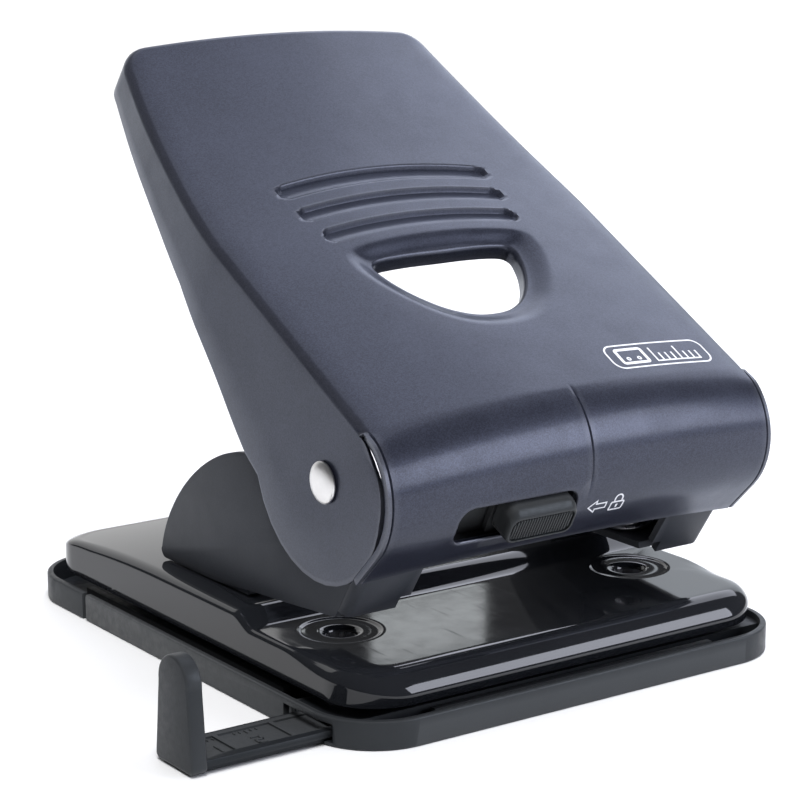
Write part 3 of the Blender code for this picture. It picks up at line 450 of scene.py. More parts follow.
class Sheet:
    """A pressed sheet as one net of points, with patches of rings let into it around its openings."""

    def __init__(self):
        self.points = []
        self.faces = []

    def add(self, point):
        self.points.append(point)
        return len(self.points) - 1

    def strip(self, low, high, closed=False):
        count = len(low) if closed else len(low) - 1
        for k in range(count):
            n = (k + 1) % len(low)
            self.faces.append((low[k], low[n], high[n], high[k]))

    def skin(self, lines):
        """Strips between each line of points and the next."""
        for low, high in zip(lines, lines[1:]):
            self.strip(low, high)

    def net(self, grid, gaps=()):
        for r in range(len(grid) - 1):
            for c in range(len(grid[0]) - 1):
                if any(c0 <= c < c1 and r0 <= r < r1 for c0, c1, r0, r1 in gaps):
                    continue
                self.faces.append((grid[r][c], grid[r][c + 1], grid[r + 1][c + 1], grid[r + 1][c]))

    def let_in(self, grid, places, gap, rings):
        """Rings of points, the outermost of them the net's own, let into a gap of the net."""
        c0, c1, r0, r1 = gap
        loop = [(r0, c) for c in range(c0, c1)]
        loop += [(r, c1) for r in range(r0, r1)]
        loop += [(r1, c) for c in range(c1, c0, -1)]
        loop += [(r, c0) for r in range(r1, r0, -1)]
        ids = [grid[r][c] for r, c in loop]
        for ring in rings([places[r][c] for r, c in loop]):
            fresh = [self.add(p) for p in ring]
            self.strip(ids, fresh, closed=True)
            ids = fresh

    def mesh(self):
        return mesh_of(self.points, self.faces)


def thick(mesh, thickness, up):
    """A sheet of metal behind the given outer surface.

    An inner point that the offset throws too far goes where its neighbours go.
    """
    shape = bmesh.new()
    shape.from_mesh(mesh)
    if sum(face.normal.dot(Vector(up)) * face.calc_area() for face in shape.faces) < 0:
        bmesh.ops.reverse_faces(shape, faces=shape.faces)
    shape.to_mesh(mesh)
    shape.free()
    count = len(mesh.vertices)
    beside = [set() for _ in range(count)]
    for edge in mesh.edges:
        a, b = edge.vertices
        beside[a].add(b)
        beside[b].add(a)
    item = placed("scratch", mesh)
    step = item.modifiers.new("sheet", "SOLIDIFY")
    step.thickness = thickness * MM
    step.offset = -1.0
    step.use_even_offset = True
    step.use_rim = True
    solid = evaluated(item)
    points = solid.vertices
    shift = [points[count + k].co - points[k].co for k in range(count)]
    wild = {k for k in range(count) if shift[k].length > MOST_OFFSET * thickness * MM}
    for k in sorted(wild):
        steady = [shift[n] for n in beside[k] if n not in wild]
        mean = sum(steady, Vector()) / max(1, len(steady))
        points[count + k].co = points[k].co + mean
    return welded(solid)


# Handle shell ----------------------------------------
HANDLE_HALF = 51.1
HANDLE_SHEET = 1.4
BARREL = (-54.2, 50.5)
BARREL_RADIUS = 16.2
TOP_HEIGHT = 97.55
TOP_SLOPE = 0.53
TOP_CURL = 0.00226
CURL_START = -5.0
CROWN = 3.2
TOP_ANGLE = degrees(atan2(1.0, -TOP_SLOPE))
BARREL_ARC = BARREL_RADIUS * radians(225.0 - TOP_ANGLE)
PIVOT = (-47.7, 51.3)
TOP_LENGTH = 130.3
EDGE_ROUND = 1.5
REAR_CORNER = 7.0
REAR_FLANGE = 10.0
REAR_START = TOP_LENGTH - REAR_CORNER


def top_slope(y):
    return TOP_SLOPE + 2 * TOP_CURL * max(0.0, y - CURL_START)


TOP_LINE = [BARREL[0] + BARREL_RADIUS * cos(radians(TOP_ANGLE))]
for _ in range(1400):
    TOP_LINE.append(TOP_LINE[-1] + 0.1 / hypot(1.0, top_slope(TOP_LINE[-1])))


def side_profile(s):
    """Point and outward normal, each (y, z), at arc length s: up the top, or down the barrel if negative."""
    if s >= 0.0:
        k = min(int(s * 10.0), len(TOP_LINE) - 2)
        y = TOP_LINE[k] + (TOP_LINE[k + 1] - TOP_LINE[k]) * (s * 10.0 - k)
        slope = top_slope(y)
        size = hypot(1.0, slope)
        z = TOP_HEIGHT + TOP_SLOPE * y + TOP_CURL * max(0.0, y - CURL_START) ** 2
        return y, z, -slope / size, 1.0 / size
    turn = min(-s, BARREL_ARC) / BARREL_RADIUS + radians(TOP_ANGLE)
    tail = max(0.0, -s - BARREL_ARC) * sqrt(0.5)
    y = BARREL[0] + BARREL_RADIUS * cos(turn) + tail
    z = BARREL[1] + BARREL_RADIUS * sin(turn) - tail
    return y, z, cos(turn), sin(turn)


def half_width(s):
    y = side_profile(min(s, 124.0))[0]
    return HANDLE_HALF - 7.6 * (max(0.0, y - CURL_START) / 47.0) ** 1.5


def crown(s):
    """How far the middle of the handle stands proud of its sides."""
    if s >= 0.0:
        return CROWN
    return CROWN - 2.9 * min(1.0, -s / (BARREL_RADIUS * radians(200.0 - TOP_ANGLE)))


GROOVES = ((77.8, 28.5), (69.2, 27.5), (60.8, 26.0))
GROOVE_HALF = 2.2
SEAM_HALF = 0.28
SEAM_END = -21.5


def arch(x, s):
    """How far the lines of the grip bow towards the barrel at their ends."""
    return 2.2 * min(1.0, (x / 27.0) ** 2) * ease((s - 36.0) / 20.0) * ease((112.0 - s) / 26.0)


def groove_depth(x, s):
    """Depth of the three pressed grip lines; s is measured before the lines are bowed."""
    for middle, reach in GROOVES:
        across = (s - middle) / GROOVE_HALF
        beyond = max(0.0, abs(x) - (reach - GROOVE_HALF)) / GROOVE_HALF
        r = hypot(across, beyond)
        if r < 1.35:
            wall = ease((1.16 - r) / 0.26) if across > -0.2 else ease((1.14 - r) / 0.20)
            floor = 0.45 + 0.75 * ease((across + 1.0) / 1.7)
            return wall * floor
    return 0.0


def seam_depth(x, s):
    """The fine pressed line down the middle of the barrel."""
    if abs(x) > SEAM_HALF or s > 1.0 or s < SEAM_END:
        return 0.0
    return 0.28 * ease((1.0 - s) / 4.0) * ease((s - SEAM_END) / 1.5)


def shoulder(x, s):
    """The top rolls over a little in its last few millimetres before the bend."""
    return 0.6 * max(0.0, (abs(x) - half_width(s) + 6.0) / 6.0) ** 2 * ease(1.0 + s / 5.0)


def on_handle(x, s, sink=0.0):
    y, z, ny, nz = side_profile(s)
    bulge = crown(s) * max(0.0, 1.0 - (x / half_width(s)) ** 2) - shoulder(x, s) - sink
    return (x, y + ny * bulge, z + nz * bulge)


def closed_spline(points, per_span=12):
    """Catmull-Rom curve through a closed loop of points."""
    count = len(points)
    curve = []
    for k in range(count):
        p0, p1, p2, p3 = (points[(k + j - 1) % count] for j in range(4))
        for j in range(per_span):
            t = j / per_span
            curve.append(tuple(0.5 * (2 * b + (c - a) * t + (2 * a - 5 * b + 4 * c - d) * t * t
                                      + (3 * b - a - 3 * c + d) * t ** 3)
                               for a, b, c, d in zip(p0, p1, p2, p3)))
    return curve


def mirrored_loop(right_half):
    """A closed loop from its right half, listed from the bottom middle to the top middle."""
    left = [(-x, s) for x, s in reversed(right_half[1:-1])]
    return closed_spline(right_half + left)


def reach_at(loop, centre, angle):
    """Distance from the centre to a star-shaped loop in one direction."""
    d = (cos(angle), sin(angle))
    best = 0.0
    for (ax, ay), (bx, by) in zip(loop, loop[1:] + loop[:1]):
        ex, ey = bx - ax, by - ay
        det = d[0] * -ey + d[1] * ex
        if abs(det) < 1e-12:
            continue
        rx, ry = ax - centre[0], ay - centre[1]
        t = (rx * -ey + ry * ex) / det
        u = (d[0] * ry - d[1] * rx) / det
        if t > 0 and -1e-6 <= u <= 1 + 1e-6:
            best = max(best, t)
    return best


HOLE_CENTRE = (0.0, 39.5)
DISH_DEPTH = 1.9
LIP_ROUND = 1.3
HOLE_LIP = mirrored_loop([(0.0, 27.2), (5.6, 28.1), (10.9, 31.3), (15.0, 36.0), (17.9, 41.0), (19.6, 45.6),
                          (20.1, 48.9), (18.0, 51.0), (9.6, 51.9), (0.0, 52.1)])
HOLE_DISH = mirrored_loop([(0.0, 21.2), (8.0, 22.6), (14.2, 26.4), (19.2, 32.6), (23.6, 40.6), (25.8, 48.0),
                           (23.6, 53.3), (12.5, 55.4), (0.0, 55.9)])


def hand_hole_rings(boundary):
    """Rings from the net down the dish, over the lip and down the wall of the hand hole."""
    angles = [atan2(s - HOLE_CENTRE[1], x) for x, s in boundary]
    outer = [hypot(x, s - HOLE_CENTRE[1]) for x, s in boundary]
    dish = [reach_at(HOLE_DISH, HOLE_CENTRE, a) for a in angles]
    lip = [reach_at(HOLE_LIP, HOLE_CENTRE, a) for a in angles]
    rings = []
    for k in range(1, 3):
        rings.append([(r0 + (r1 - r0) * k / 2, 0.0) for r0, r1 in zip(outer, dish)])
    steps = 12
    for k in range(1, steps + 1):
        t = k / steps
        sink = DISH_DEPTH * (0.55 * ease(t) + 0.45 * t * t)
        rings.append([(r0 + (r1 - r0) * t, sink) for r0, r1 in zip(dish, lip)])
    for a in (15, 30, 45, 60, 75, 90):
        sink = DISH_DEPTH + LIP_ROUND * (1 - cos(radians(a)))
        rings.append([(r - LIP_ROUND * sin(radians(a)), sink) for r in lip])
    rings.append([(r - 1.35, 4.4) for r in lip])
    rings.append([(r - 1.4, 5.6) for r in lip])
    result = []
    for ring in rings:
        line = []
        for (r, sink), a in zip(ring, angles):
            line.append(on_handle(HOLE_CENTRE[0] + r * cos(a), HOLE_CENTRE[1] + r * sin(a), sink))
        result.append(line)
    return result


SLOT = (-33.0, -2.5, -30.3, -20.7)


def lock_slot_rings(boundary):
    """Rings from the net to the rounded edge of the lock's slot."""
    left, right, low, high = SLOT
    corner = 3.4
    result = []
    for grow, sink in ((1.2, 0.0), (0.45, 0.0), (0.22, 0.06), (0.06, 0.22), (0.0, 0.5)):
        line = []
        for x, s in boundary:
            cx = min(right - corner, max(left + corner, x))
            cs = min(high - corner, max(low + corner, s))
            size = hypot(x - cx, s - cs)
            r = corner + grow
            line.append(on_handle(cx + (x - cx) / size * r, cs + (s - cs) / size * r, sink))
        result.append(line)
    return result


def wall_outline():
    """Lower edge of a side wall (y, z), from the rear flange round the lobe to the end of the slit."""
    points = [(53.0, 121.5), (32.0, 102.8), (12.0, 85.0), (-4.0, 66.4), (-19.5, 48.6)]
    for k in range(45):
        a = -9.0 - 156.0 * k / 44
        r = 26.3 - 0.042 * (abs(a) - 9.0) - 0.9 * sin(pi * k / 44)
        points.append((PIVOT[0] + r * cos(radians(a)), PIVOT[1] + r * sin(radians(a))))
    for k in range(33):
        a = 199.0 - 80.0 * k / 32
        r = 13.2 + 1.0 * (1.0 - ease((a - 119.0) / 24.0))
        points.append((BARREL[0] + r * cos(radians(a)), BARREL[1] + r * sin(radians(a))))
    return points


WALL_STRAIGHTS = wall_outline()[:6]
WALL_ROUND = list(reversed(wall_outline()[5:]))


def wall_depth(s):
    """Depth of the side wall behind the lobe, square to the top face."""
    y, z, ny, nz = side_profile(s)
    for (y0, z0), (y1, z1) in zip(WALL_STRAIGHTS, WALL_STRAIGHTS[1:]):
        ey, ez = y1 - y0, z1 - z0
        det = ny * ez - nz * ey
        depth = ((y0 - y) * -ez + (z0 - z) * ey) / det
        t = ((z0 - z) * -ny + (y0 - y) * nz) / det
        if -0.35 <= t <= 1.0 and depth > 0:
            return depth
    return 9.5


CORE_HALF = 30.0
FAN_END = 33.0
WALL_STEPS = (0.04, 0.3, 0.65, 0.975, 1.0)


def make_handle():
    core = spread([(-CORE_HALF, 3), (-27.0, 6), (-24.0, 12), (-12.0, 10), (-2.5, 3), (-0.3, 1), (0.0, 1),
                   (0.3, 3), (2.5, 10), (12.0, 12), (24.0, 6), (27.0, 3), (CORE_HALF, 0)])
    slot_low, slot_high = -32.2, -18.8
    hole_low, hole_high = 16.5, 57.2
    barrel = spread([(-40.0, 3), (-35.0, 2), (slot_low, 7), (slot_high, 16), (-0.6, 1), (0.0, 0)])
    top = spread([(0.9, 1), (1.8, 13), (hole_low, 41), (hole_high, 68), (82.0, 24), (REAR_START, 0)])
    outer_steps = 12
    corner = REAR_CORNER - EDGE_ROUND
    turns = 8
    rows = [(s, -1.0) for s in barrel] + [(s, 0.0) for s in top[:-1]]
    rows += [(REAR_START, radians(90.0 * k / turns)) for k in range(turns + 1)]
    sheet = Sheet()
    grid = []
    flat = []
    edge = []
    for s0, turn in rows:
        front = turn < 0
        lift = max(0.0, turn)
        s = s0 + corner * sin(lift)
        width = half_width(s) - EDGE_ROUND - corner * (1.0 - cos(lift))
        fractions = [k / outer_steps for k in range(outer_steps)]
        left = [-width + (width - CORE_HALF) * f for f in fractions]
        xs = left + core + [-x for x in reversed(left)]
        line = []
        places = []
        for x in xs:
            along = s
            if s < -31.0:
                along = s - (3.0 * (x / 46.0) ** 2 - 3.5) * (-s - 31.0) / 9.0
            along -= arch(x, s)
            sink = groove_depth(x, s) + seam_depth(x, s)
            line.append(sheet.add(on_handle(x, along, sink)))
            places.append((x, along))
        grid.append(line)
        flat.append(places)
        edge.append((s, width, cos(lift), sin(lift), front))
    row_s = [s for s, _ in rows]

    def column(x):
        return outer_steps + nearest(core, x)

    hole_gap = (column(-CORE_HALF), column(CORE_HALF), nearest(row_s, hole_low), nearest(row_s, hole_high))
    slot_gap = (outer_steps - 6, column(-0.3), nearest(row_s, slot_low), nearest(row_s, slot_high))
    sheet.net(grid, (hole_gap, slot_gap))
    sheet.let_in(grid, flat, hole_gap, hand_hole_rings)
    sheet.let_in(grid, flat, slot_gap, lock_slot_rings)

    def bend(x, s, out_x, out_s, front):
        """From the top round to the wall, or at the barrel's ends a fine groove and then the end's edge."""
        line = []
        if front:
            depth = 0.55 * ease((-s - 0.6) / 1.5)
            for reach, sink in ((0.15, 0.0), (0.42, depth), (0.7, 0.0), (EDGE_ROUND, 0.0)):
                line.append(sheet.add(on_handle(x + out_x * reach, s, sink)))
            return line
        for angle in (22.5, 45.0, 67.5, 90.0):
            reach = EDGE_ROUND * sin(radians(angle))
            sink = EDGE_ROUND * (1.0 - cos(radians(angle)))
            line.append(sheet.add(on_handle(x + out_x * reach, s + out_s * reach, sink)))
        return line

    walls = {}
    start = len(barrel)
    fan_rows = [k for k in range(start, len(rows)) if row_s[k] <= FAN_END]
    for sign, end in ((-1.0, 0), (1.0, -1)):
        chain = []
        for (s, width, out_x, out_s, front), line, places in zip(edge, grid, flat):
            along = places[end][1]
            chain.append([line[end]] + bend(sign * width, along, sign * out_x, out_s, front))
        sheet.skin(chain)
        columns = []
        for k in range(start, len(rows)):
            x, y0, z0 = sheet.points[chain[k][-1]]
            s = edge[k][0]
            if k in fan_rows:
                part = (k - start) / (len(fan_rows) - 1)
                pick = (len(WALL_ROUND) - 1) * (0.35 * part * part + 0.65 * part)
                a = min(int(pick), len(WALL_ROUND) - 2)
                y = WALL_ROUND[a][0] + (WALL_ROUND[a + 1][0] - WALL_ROUND[a][0]) * (pick - a)
                z = WALL_ROUND[a][1] + (WALL_ROUND[a + 1][1] - WALL_ROUND[a][1]) * (pick - a)
            else:
                depth = wall_depth(s)
                if k >= len(rows) - turns - 1:
                    part = (k - len(rows) + turns + 1) / turns
                    depth = wall_depth(REAR_START) * (1 - part) + REAR_FLANGE * part
                _, _, ny, nz = side_profile(s)
                y = y0 - ny * (depth - EDGE_ROUND)
                z = z0 - nz * (depth - EDGE_ROUND)
            ids = [chain[k][-1]]
            for t in WALL_STEPS:
                turned_in = 0.12 * (1.0 - edge[k][3]) if t == 1.0 else 0.0
                ids.append(sheet.add((x - sign * turned_in, y0 + (y - y0) * t, z0 + (z - z0) * t)))
            columns.append(ids)
        sheet.skin(columns)
        walls[sign] = (chain[-1], columns[-1])
    s, width, _, _, _ = edge[-1]
    rear = [walls[-1.0][0] + walls[-1.0][1][1:]]
    for c in range(1, len(grid[-1]) - 1):
        x, along = flat[-1][c]
        line = [grid[-1][c]] + bend(x, along, 0.0, 1.0, False)
        _, y0, z0 = sheet.points[line[-1]]
        _, _, ny, nz = side_profile(s)
        drop = REAR_FLANGE - EDGE_ROUND
        line += [sheet.add((x, y0 - ny * drop * t, z0 - nz * drop * t)) for t in WALL_STEPS]
        rear.append(line)
    rear.append(walls[1.0][0] + walls[1.0][1][1:])
    sheet.skin(rear)
    mesh = thick(sheet.mesh(), HANDLE_SHEET, (0.0, -0.4, 1.0))
    piece("handle_skin", mesh, "handle_paint", "handle", "handle_shell", smooth=38.0)


make_handle()

# Base plate ----------------------------------------
PLATE_HALF = 56.0
PLATE_FRONT = -67.8
PLATE_BACK = 67.2
PLATE_CORNER = 13.5
PLATE_SHEET = 1.2
PLATE_SHOULDER = 54.2
DECK_RISE = 7.3
SKIRT_Z = 7.4
SKIRT_TUCK = 0.9
PIN_X = 40.0
HOLE_Y = -36.5
DIE_FRONT = -47.5
DIE_BACK = -25.5
DIE_INSIDE = 29.0 / PLATE_SHOULDER
DIE_OUTSIDE = 51.0 / PLATE_SHOULDER


def deck_height(y):
    """Top of the base plate: low under the paper, one soft step up, falling away to the back."""
    return 14.7 + 2.8 * ease((y + 26.0) / 7.5) - 0.00135 * max(0.0, y - 14.0) ** 2


def side_reach(y):
    """How far the rounded edge reaches in along the plate's sides."""
    return 1.35 + 1.45 * ease((y + 27.0) / 10.0)


def die_rings(centre):
    """Rings from the net over a pressed circle and down into the punched hole."""
    steps = [(9.9, 0.0), (9.2, 0.0), (8.95, 0.03), (8.7, 0.14), (8.45, 0.26), (8.2, 0.3), (6.5, 0.3),
             (5.0, 0.3), (4.5, 0.33), (4.15, 0.45), (3.85, 0.68), (3.6, 0.98), (3.42, 1.3), (3.32, 1.7),
             (3.3, 2.0)]

    def rings(boundary):
        angles = [atan2(y - centre[1], x - centre[0]) for x, y in boundary]
        return [[(centre[0] + r * cos(a), centre[1] + r * sin(a),
                  deck_height(centre[1] + r * sin(a)) - depth) for a in angles] for r, depth in steps]
    return rings


def plate_rows():
    """Rows from front to back: the shoulder's point, the edge's point, and the drop between them."""
    rows = []
    steps = 26
    outer_x = PLATE_HALF - PLATE_CORNER
    for k in range(steps):
        a = radians(90.0 * k / steps - 90.0)
        inner = (PLATE_HALF - 1.35 - 11.0 + 11.0 * cos(a), PLATE_FRONT + 5.2 + 9.5 + 9.5 * sin(a))
        outer = (outer_x + PLATE_CORNER * cos(a), PLATE_FRONT + PLATE_CORNER + PLATE_CORNER * sin(a))
        rows.append((inner, outer, 1.3 + 3.3 * sin(a) ** 2))
    for y in spread([(PLATE_FRONT + 14.7, 4), (DIE_FRONT, 16), (DIE_BACK, 1), (-25.0, 16), (-18.0, 4),
                     (-8.0, 6), (14.0, 12), (51.0, 0)]):
        outer_y = y + (PLATE_BACK - PLATE_CORNER - y) * min(1.0, max(0.0, (y - 45.0) / 6.0))
        outer_y += (PLATE_FRONT + PLATE_CORNER - y) * min(1.0, max(0.0, (-49.0 - y) / 4.0))
        drop = 1.3 + 0.2 * ease((y + 27.0) / 10.0)
        rows.append(((PLATE_HALF - side_reach(y), y), (PLATE_HALF, outer_y), drop))
    for k in range(1, steps + 1):
        a = radians(90.0 * k / steps)
        inner = (PLATE_HALF - 2.8 - 10.0 + 10.0 * cos(a), 51.0 + 9.4 * sin(a))
        outer = (outer_x + PLATE_CORNER * cos(a), PLATE_BACK - PLATE_CORNER + PLATE_CORNER * sin(a))
        rows.append((inner, outer, 1.5 + 4.7 * sin(a) ** 2))
    return rows


def front_fall(x, y):
    """How far the deck has rolled down near the front edge and its two corners."""
    aside = max(0.0, abs(x) - PLATE_HALF + PLATE_CORNER)
    ahead = max(0.0, PLATE_FRONT + PLATE_CORNER - y)
    return 2.0 * (max(0.0, hypot(aside, ahead) - 7.0) / 6.5) ** 2.5 * ease((-38.0 - y) / 16.0)


def make_base_plate():
    rows = plate_rows()
    right = spread([(0.0, 10), (DIE_INSIDE, 16), (DIE_OUTSIDE, 5), (1.0, 0)])
    columns = [-u for u in reversed(right[1:])] + right
    edge_steps = 16
    sheet = Sheet()
    places = [[(u * inner[0], inner[1]) for u in columns] for inner, _, _ in rows]
    grid = [[sheet.add((x, y, deck_height(y))) for x, y in line] for line in places]
    row_y = [line[0][1] for line in places]
    gaps = []
    for sign in (-1.0, 1.0):
        low, high = sorted((nearest(columns, sign * DIE_INSIDE), nearest(columns, sign * DIE_OUTSIDE)))
        gaps.append((low, high, nearest(row_y, DIE_FRONT), nearest(row_y, DIE_BACK)))
    sheet.net(grid, gaps)
    for sign, gap in zip((-1.0, 1.0), gaps):
        sheet.let_in(grid, places, gap, die_rings((sign * PIN_X, HOLE_Y)))

    def edge(start, reach_x, reach_y, down, tuck=0.0):
        """The round from the deck out to the plate's edge, then the skirt, tucked under at the front."""
        x, y, z = sheet.points[start]
        line = [start]
        for k in range(1, edge_steps + 1):
            a = radians(90.0 * k / edge_steps)
            line.append(sheet.add((x + reach_x * sin(a), y + reach_y * sin(a), z - down * (1 - cos(a)))))
        x, y, z = sheet.points[line[-1]]
        for t in (0.06, 0.5, 0.94, 1.0):
            line.append(sheet.add((x, y + tuck * t, z + (SKIRT_Z - z) * t)))
        return line

    sides = {}
    for sign, end in ((-1.0, 0), (1.0, -1)):
        chain = []
        for line, (inner, outer, down) in zip(grid, rows):
            tuck = SKIRT_TUCK * max(0.0, (PLATE_FRONT + PLATE_CORNER - outer[1]) / PLATE_CORNER) ** 2
            chain.append(edge(line[end], sign * (outer[0] - inner[0]), outer[1] - inner[1], down, tuck))
        sheet.skin(chain)
        sides[sign] = chain
    for k in (0, -1):
        inner, outer, down = rows[k]
        reach = outer[0] - inner[0]
        chain = [sides[-1.0][k]]
        for u, start in zip(columns[1:-1], grid[k][1:-1]):
            chain.append(edge(start, u * reach, outer[1] - inner[1], down, SKIRT_TUCK if k == 0 else 0.0))
        chain.append(sides[1.0][k])
        sheet.skin(chain)
    for k, (x, y, z) in enumerate(sheet.points):
        sheet.points[k] = (x, y, z - front_fall(x, y) * max(0.0, z - SKIRT_Z) / DECK_RISE)
    mesh = thick(sheet.mesh(), PLATE_SHEET, (0.0, 0.0, 1.0))
    piece("base_plate_skin", mesh, "base_enamel", "base", "base_plate", smooth=42.0)


make_base_plate()

# Punch frames ----------------------------------------
CHEEK_X = 48.8
CHEEK_SHEET = 1.6
FOOT_Z = 17.85
FLANGE_LOW = Vector((-50.6, 22.4))
FLANGE_TOP = Vector((-61.6, 38.98))
FLANGE_REACH = 2.3
FLANGE_INSIDE = 33.0
RIVETS_Y = (-8.0, 13.0)


def cheek_outline():
    foot = arc((21.8, FOOT_Z + 2.0), 2.0, -90, 0, 6)
    rise = []
    for k in range(3, 40):
        a = radians(90.0 * k / 40)
        rise.append((-14.0 + 37.8 * cos(a) ** (2 / 1.65), FOOT_Z + 32.05 * sin(a) ** (2 / 1.65)))
    boss = arc(PIVOT, 13.5, 52, 196, 40)
    front = [(-61.0, 42.5), tuple(FLANGE_TOP), tuple(FLANGE_LOW), (-49.6, 22.2), (-34.4, 20.8),
             (-14.5, 19.2), (0.0, FOOT_Z)]
    return foot + rise + [(-20.0, 51.4), (-30.0, 56.6)] + boss + front


def make_frame(side, sign):
    """A cheek and its folded flange and foot: one pressed sheet, with a rounded fold."""
    lean = (FLANGE_TOP - FLANGE_LOW).normalized()
    inward = Vector((lean.y, -lean.x))
    length = (FLANGE_TOP - FLANGE_LOW).length

    def place(distance, depth):
        return FLANGE_LOW + lean * distance + inward * depth

    def across(a, b):
        return sorted((sign * a, sign * b))

    cheek = slab("YZ", cheek_outline(), *across(CHEEK_X, CHEEK_X - CHEEK_SHEET))
    trim = []
    for distance, depth in ((-3.0, -6.0), (length + 3.0, -6.0), (length + 3.0, FLANGE_REACH),
                            (-3.0, FLANGE_REACH)):
        trim.append(tuple(place(distance, depth)))
    cheek = boolean(cheek, [slab("YZ", trim, *across(CHEEK_X + 2.0, CHEEK_X - 5.0))])
    section = [(CHEEK_X, FLANGE_REACH), (CHEEK_X - CHEEK_SHEET, FLANGE_REACH)]
    for k in range(9):
        a = radians(90.0 * k / 8)
        inner = FLANGE_REACH - CHEEK_SHEET
        section.append((CHEEK_X - FLANGE_REACH + inner * cos(a), FLANGE_REACH - inner * sin(a)))
    section += [(FLANGE_INSIDE, CHEEK_SHEET), (FLANGE_INSIDE, 0.0)]
    for k in range(11):
        a = radians(90.0 - 90.0 * k / 10)
        section.append((CHEEK_X - FLANGE_REACH + FLANGE_REACH * cos(a), FLANGE_REACH - FLANGE_REACH * sin(a)))
    ends = [[(sign * x, *place(distance, depth)) for x, depth in section] for distance in (0.0, length)]
    flange = tube(ends)
    notch = [tuple(place(*p)) for p in ((-2.0, -1.0), (3.4, -1.0), (3.4, 3.0), (-2.0, 3.0))]
    flange = boolean(flange, [slab("YZ", notch, *across(35.6, 31.0))])
    low_x, high_x = across(CHEEK_X - 0.4, 36.0)
    foot = block((low_x, -13.0, FOOT_Z), (high_x, 18.0, FOOT_Z + CHEEK_SHEET))
    bores = [rod("Z", (sign * 41.0, y, 12.0), 1.9, 12.0, 24) for y in RIVETS_Y]
    bores.append(rod("X", (sign * 48.0 - 4.0, *PIVOT), 3.2, 8.0, 40))
    mesh = boolean(boolean(cheek, [flange], "UNION"), [foot], "UNION")
    mesh = softened(boolean(mesh, bores), 0.26, 2, 50.0)
    piece("frame_skin_" + side, mesh, "frame_paint", "base", "frame_" + side, smooth=30.0)


for name, turn in SIDES:
    make_frame(name, turn)

# Chip tray ----------------------------------------
TRAY_X = 60.0
TRAY_Y = 71.2
TRAY_Z = 6.3
GUIDE_Y = -53.2
HINGE = (62.6, 7.0)


def tray_outline(inset):
    return rounded_rectangle(inset - TRAY_X, TRAY_X - inset, inset - TRAY_Y, TRAY_Y - inset, 16.0 - inset, 24)


def make_tray():
    tub = softened(slab("XY", tray_outline(0.0), 0.0, TRAY_Z), 0.5, 3, 60.0)
    tub = boolean(tub, [slab("XY", tray_outline(1.4), 1.4, 12.0)])
    extras = [block((-57.5, GUIDE_Y - 9.0, 0.2), (58.8, GUIDE_Y + 9.0, 4.7)),
              block((-36.0, -65.4, 0.5), (40.0, -63.8, 4.6))]
    for sign in (-1.0, 1.0):
        extras.append(block((sign * 53.4 - 0.9, -36.0, 0.5), (sign * 53.4 + 0.9, 50.0, 4.6)))
        lug = [(HINGE[0] + 2.6, 0.5)] + arc(HINGE, 2.6, 0, 180, 16) + [(HINGE[0] - 2.6, 0.5)]
        extras.append(slab("YZ", lug, sign * 30.0 - 1.5, sign * 30.0 + 1.5))
    tub = boolean(tub, extras, "UNION")
    cuts = [block((-70.0, GUIDE_Y - 7.1, 1.3), (57.0, GUIDE_Y + 7.1, 3.4)),
            block((-70.0, GUIDE_Y - 6.1, -1.0), (57.0, GUIDE_Y + 6.1, 1.5)),
            block((-70.0, GUIDE_Y - 8.2, 0.9), (-57.0, GUIDE_Y + 8.2, 5.0)),
            block((-62.0, 40.2, -1.0), (-58.2, 41.8, 9.0)),
            rod("X", (-40.0, *HINGE), 1.65, 80.0, 24)]
    for x, y in ((-42.0, -32.0), (42.0, -32.0), (-42.0, 54.0), (42.0, 54.0)):
        cuts.append(rod("Z", (x, y, -1.0), 6.3, 1.9, 40))
    tub = boolean(tub, cuts)
    piece("tray_tub", softened(tub, 0.18, 2, 50.0), "dark_plastic", "tray", "chip_tray", smooth=35.0)


make_tray()


# Paper guide ----------------------------------------
DIGITS = ("BC", "ABGED", "ABGCD", "FGBC", "AFGCD")
SEGMENTS = {"A": ((0, 2), (1, 2)), "B": ((1, 2), (1, 1)), "C": ((1, 1), (1, 0)), "D": ((0, 0), (1, 0)),
            "E": ((0, 1), (0, 0)), "F": ((0, 2), (0, 1)), "G": ((0, 1), (1, 1))}


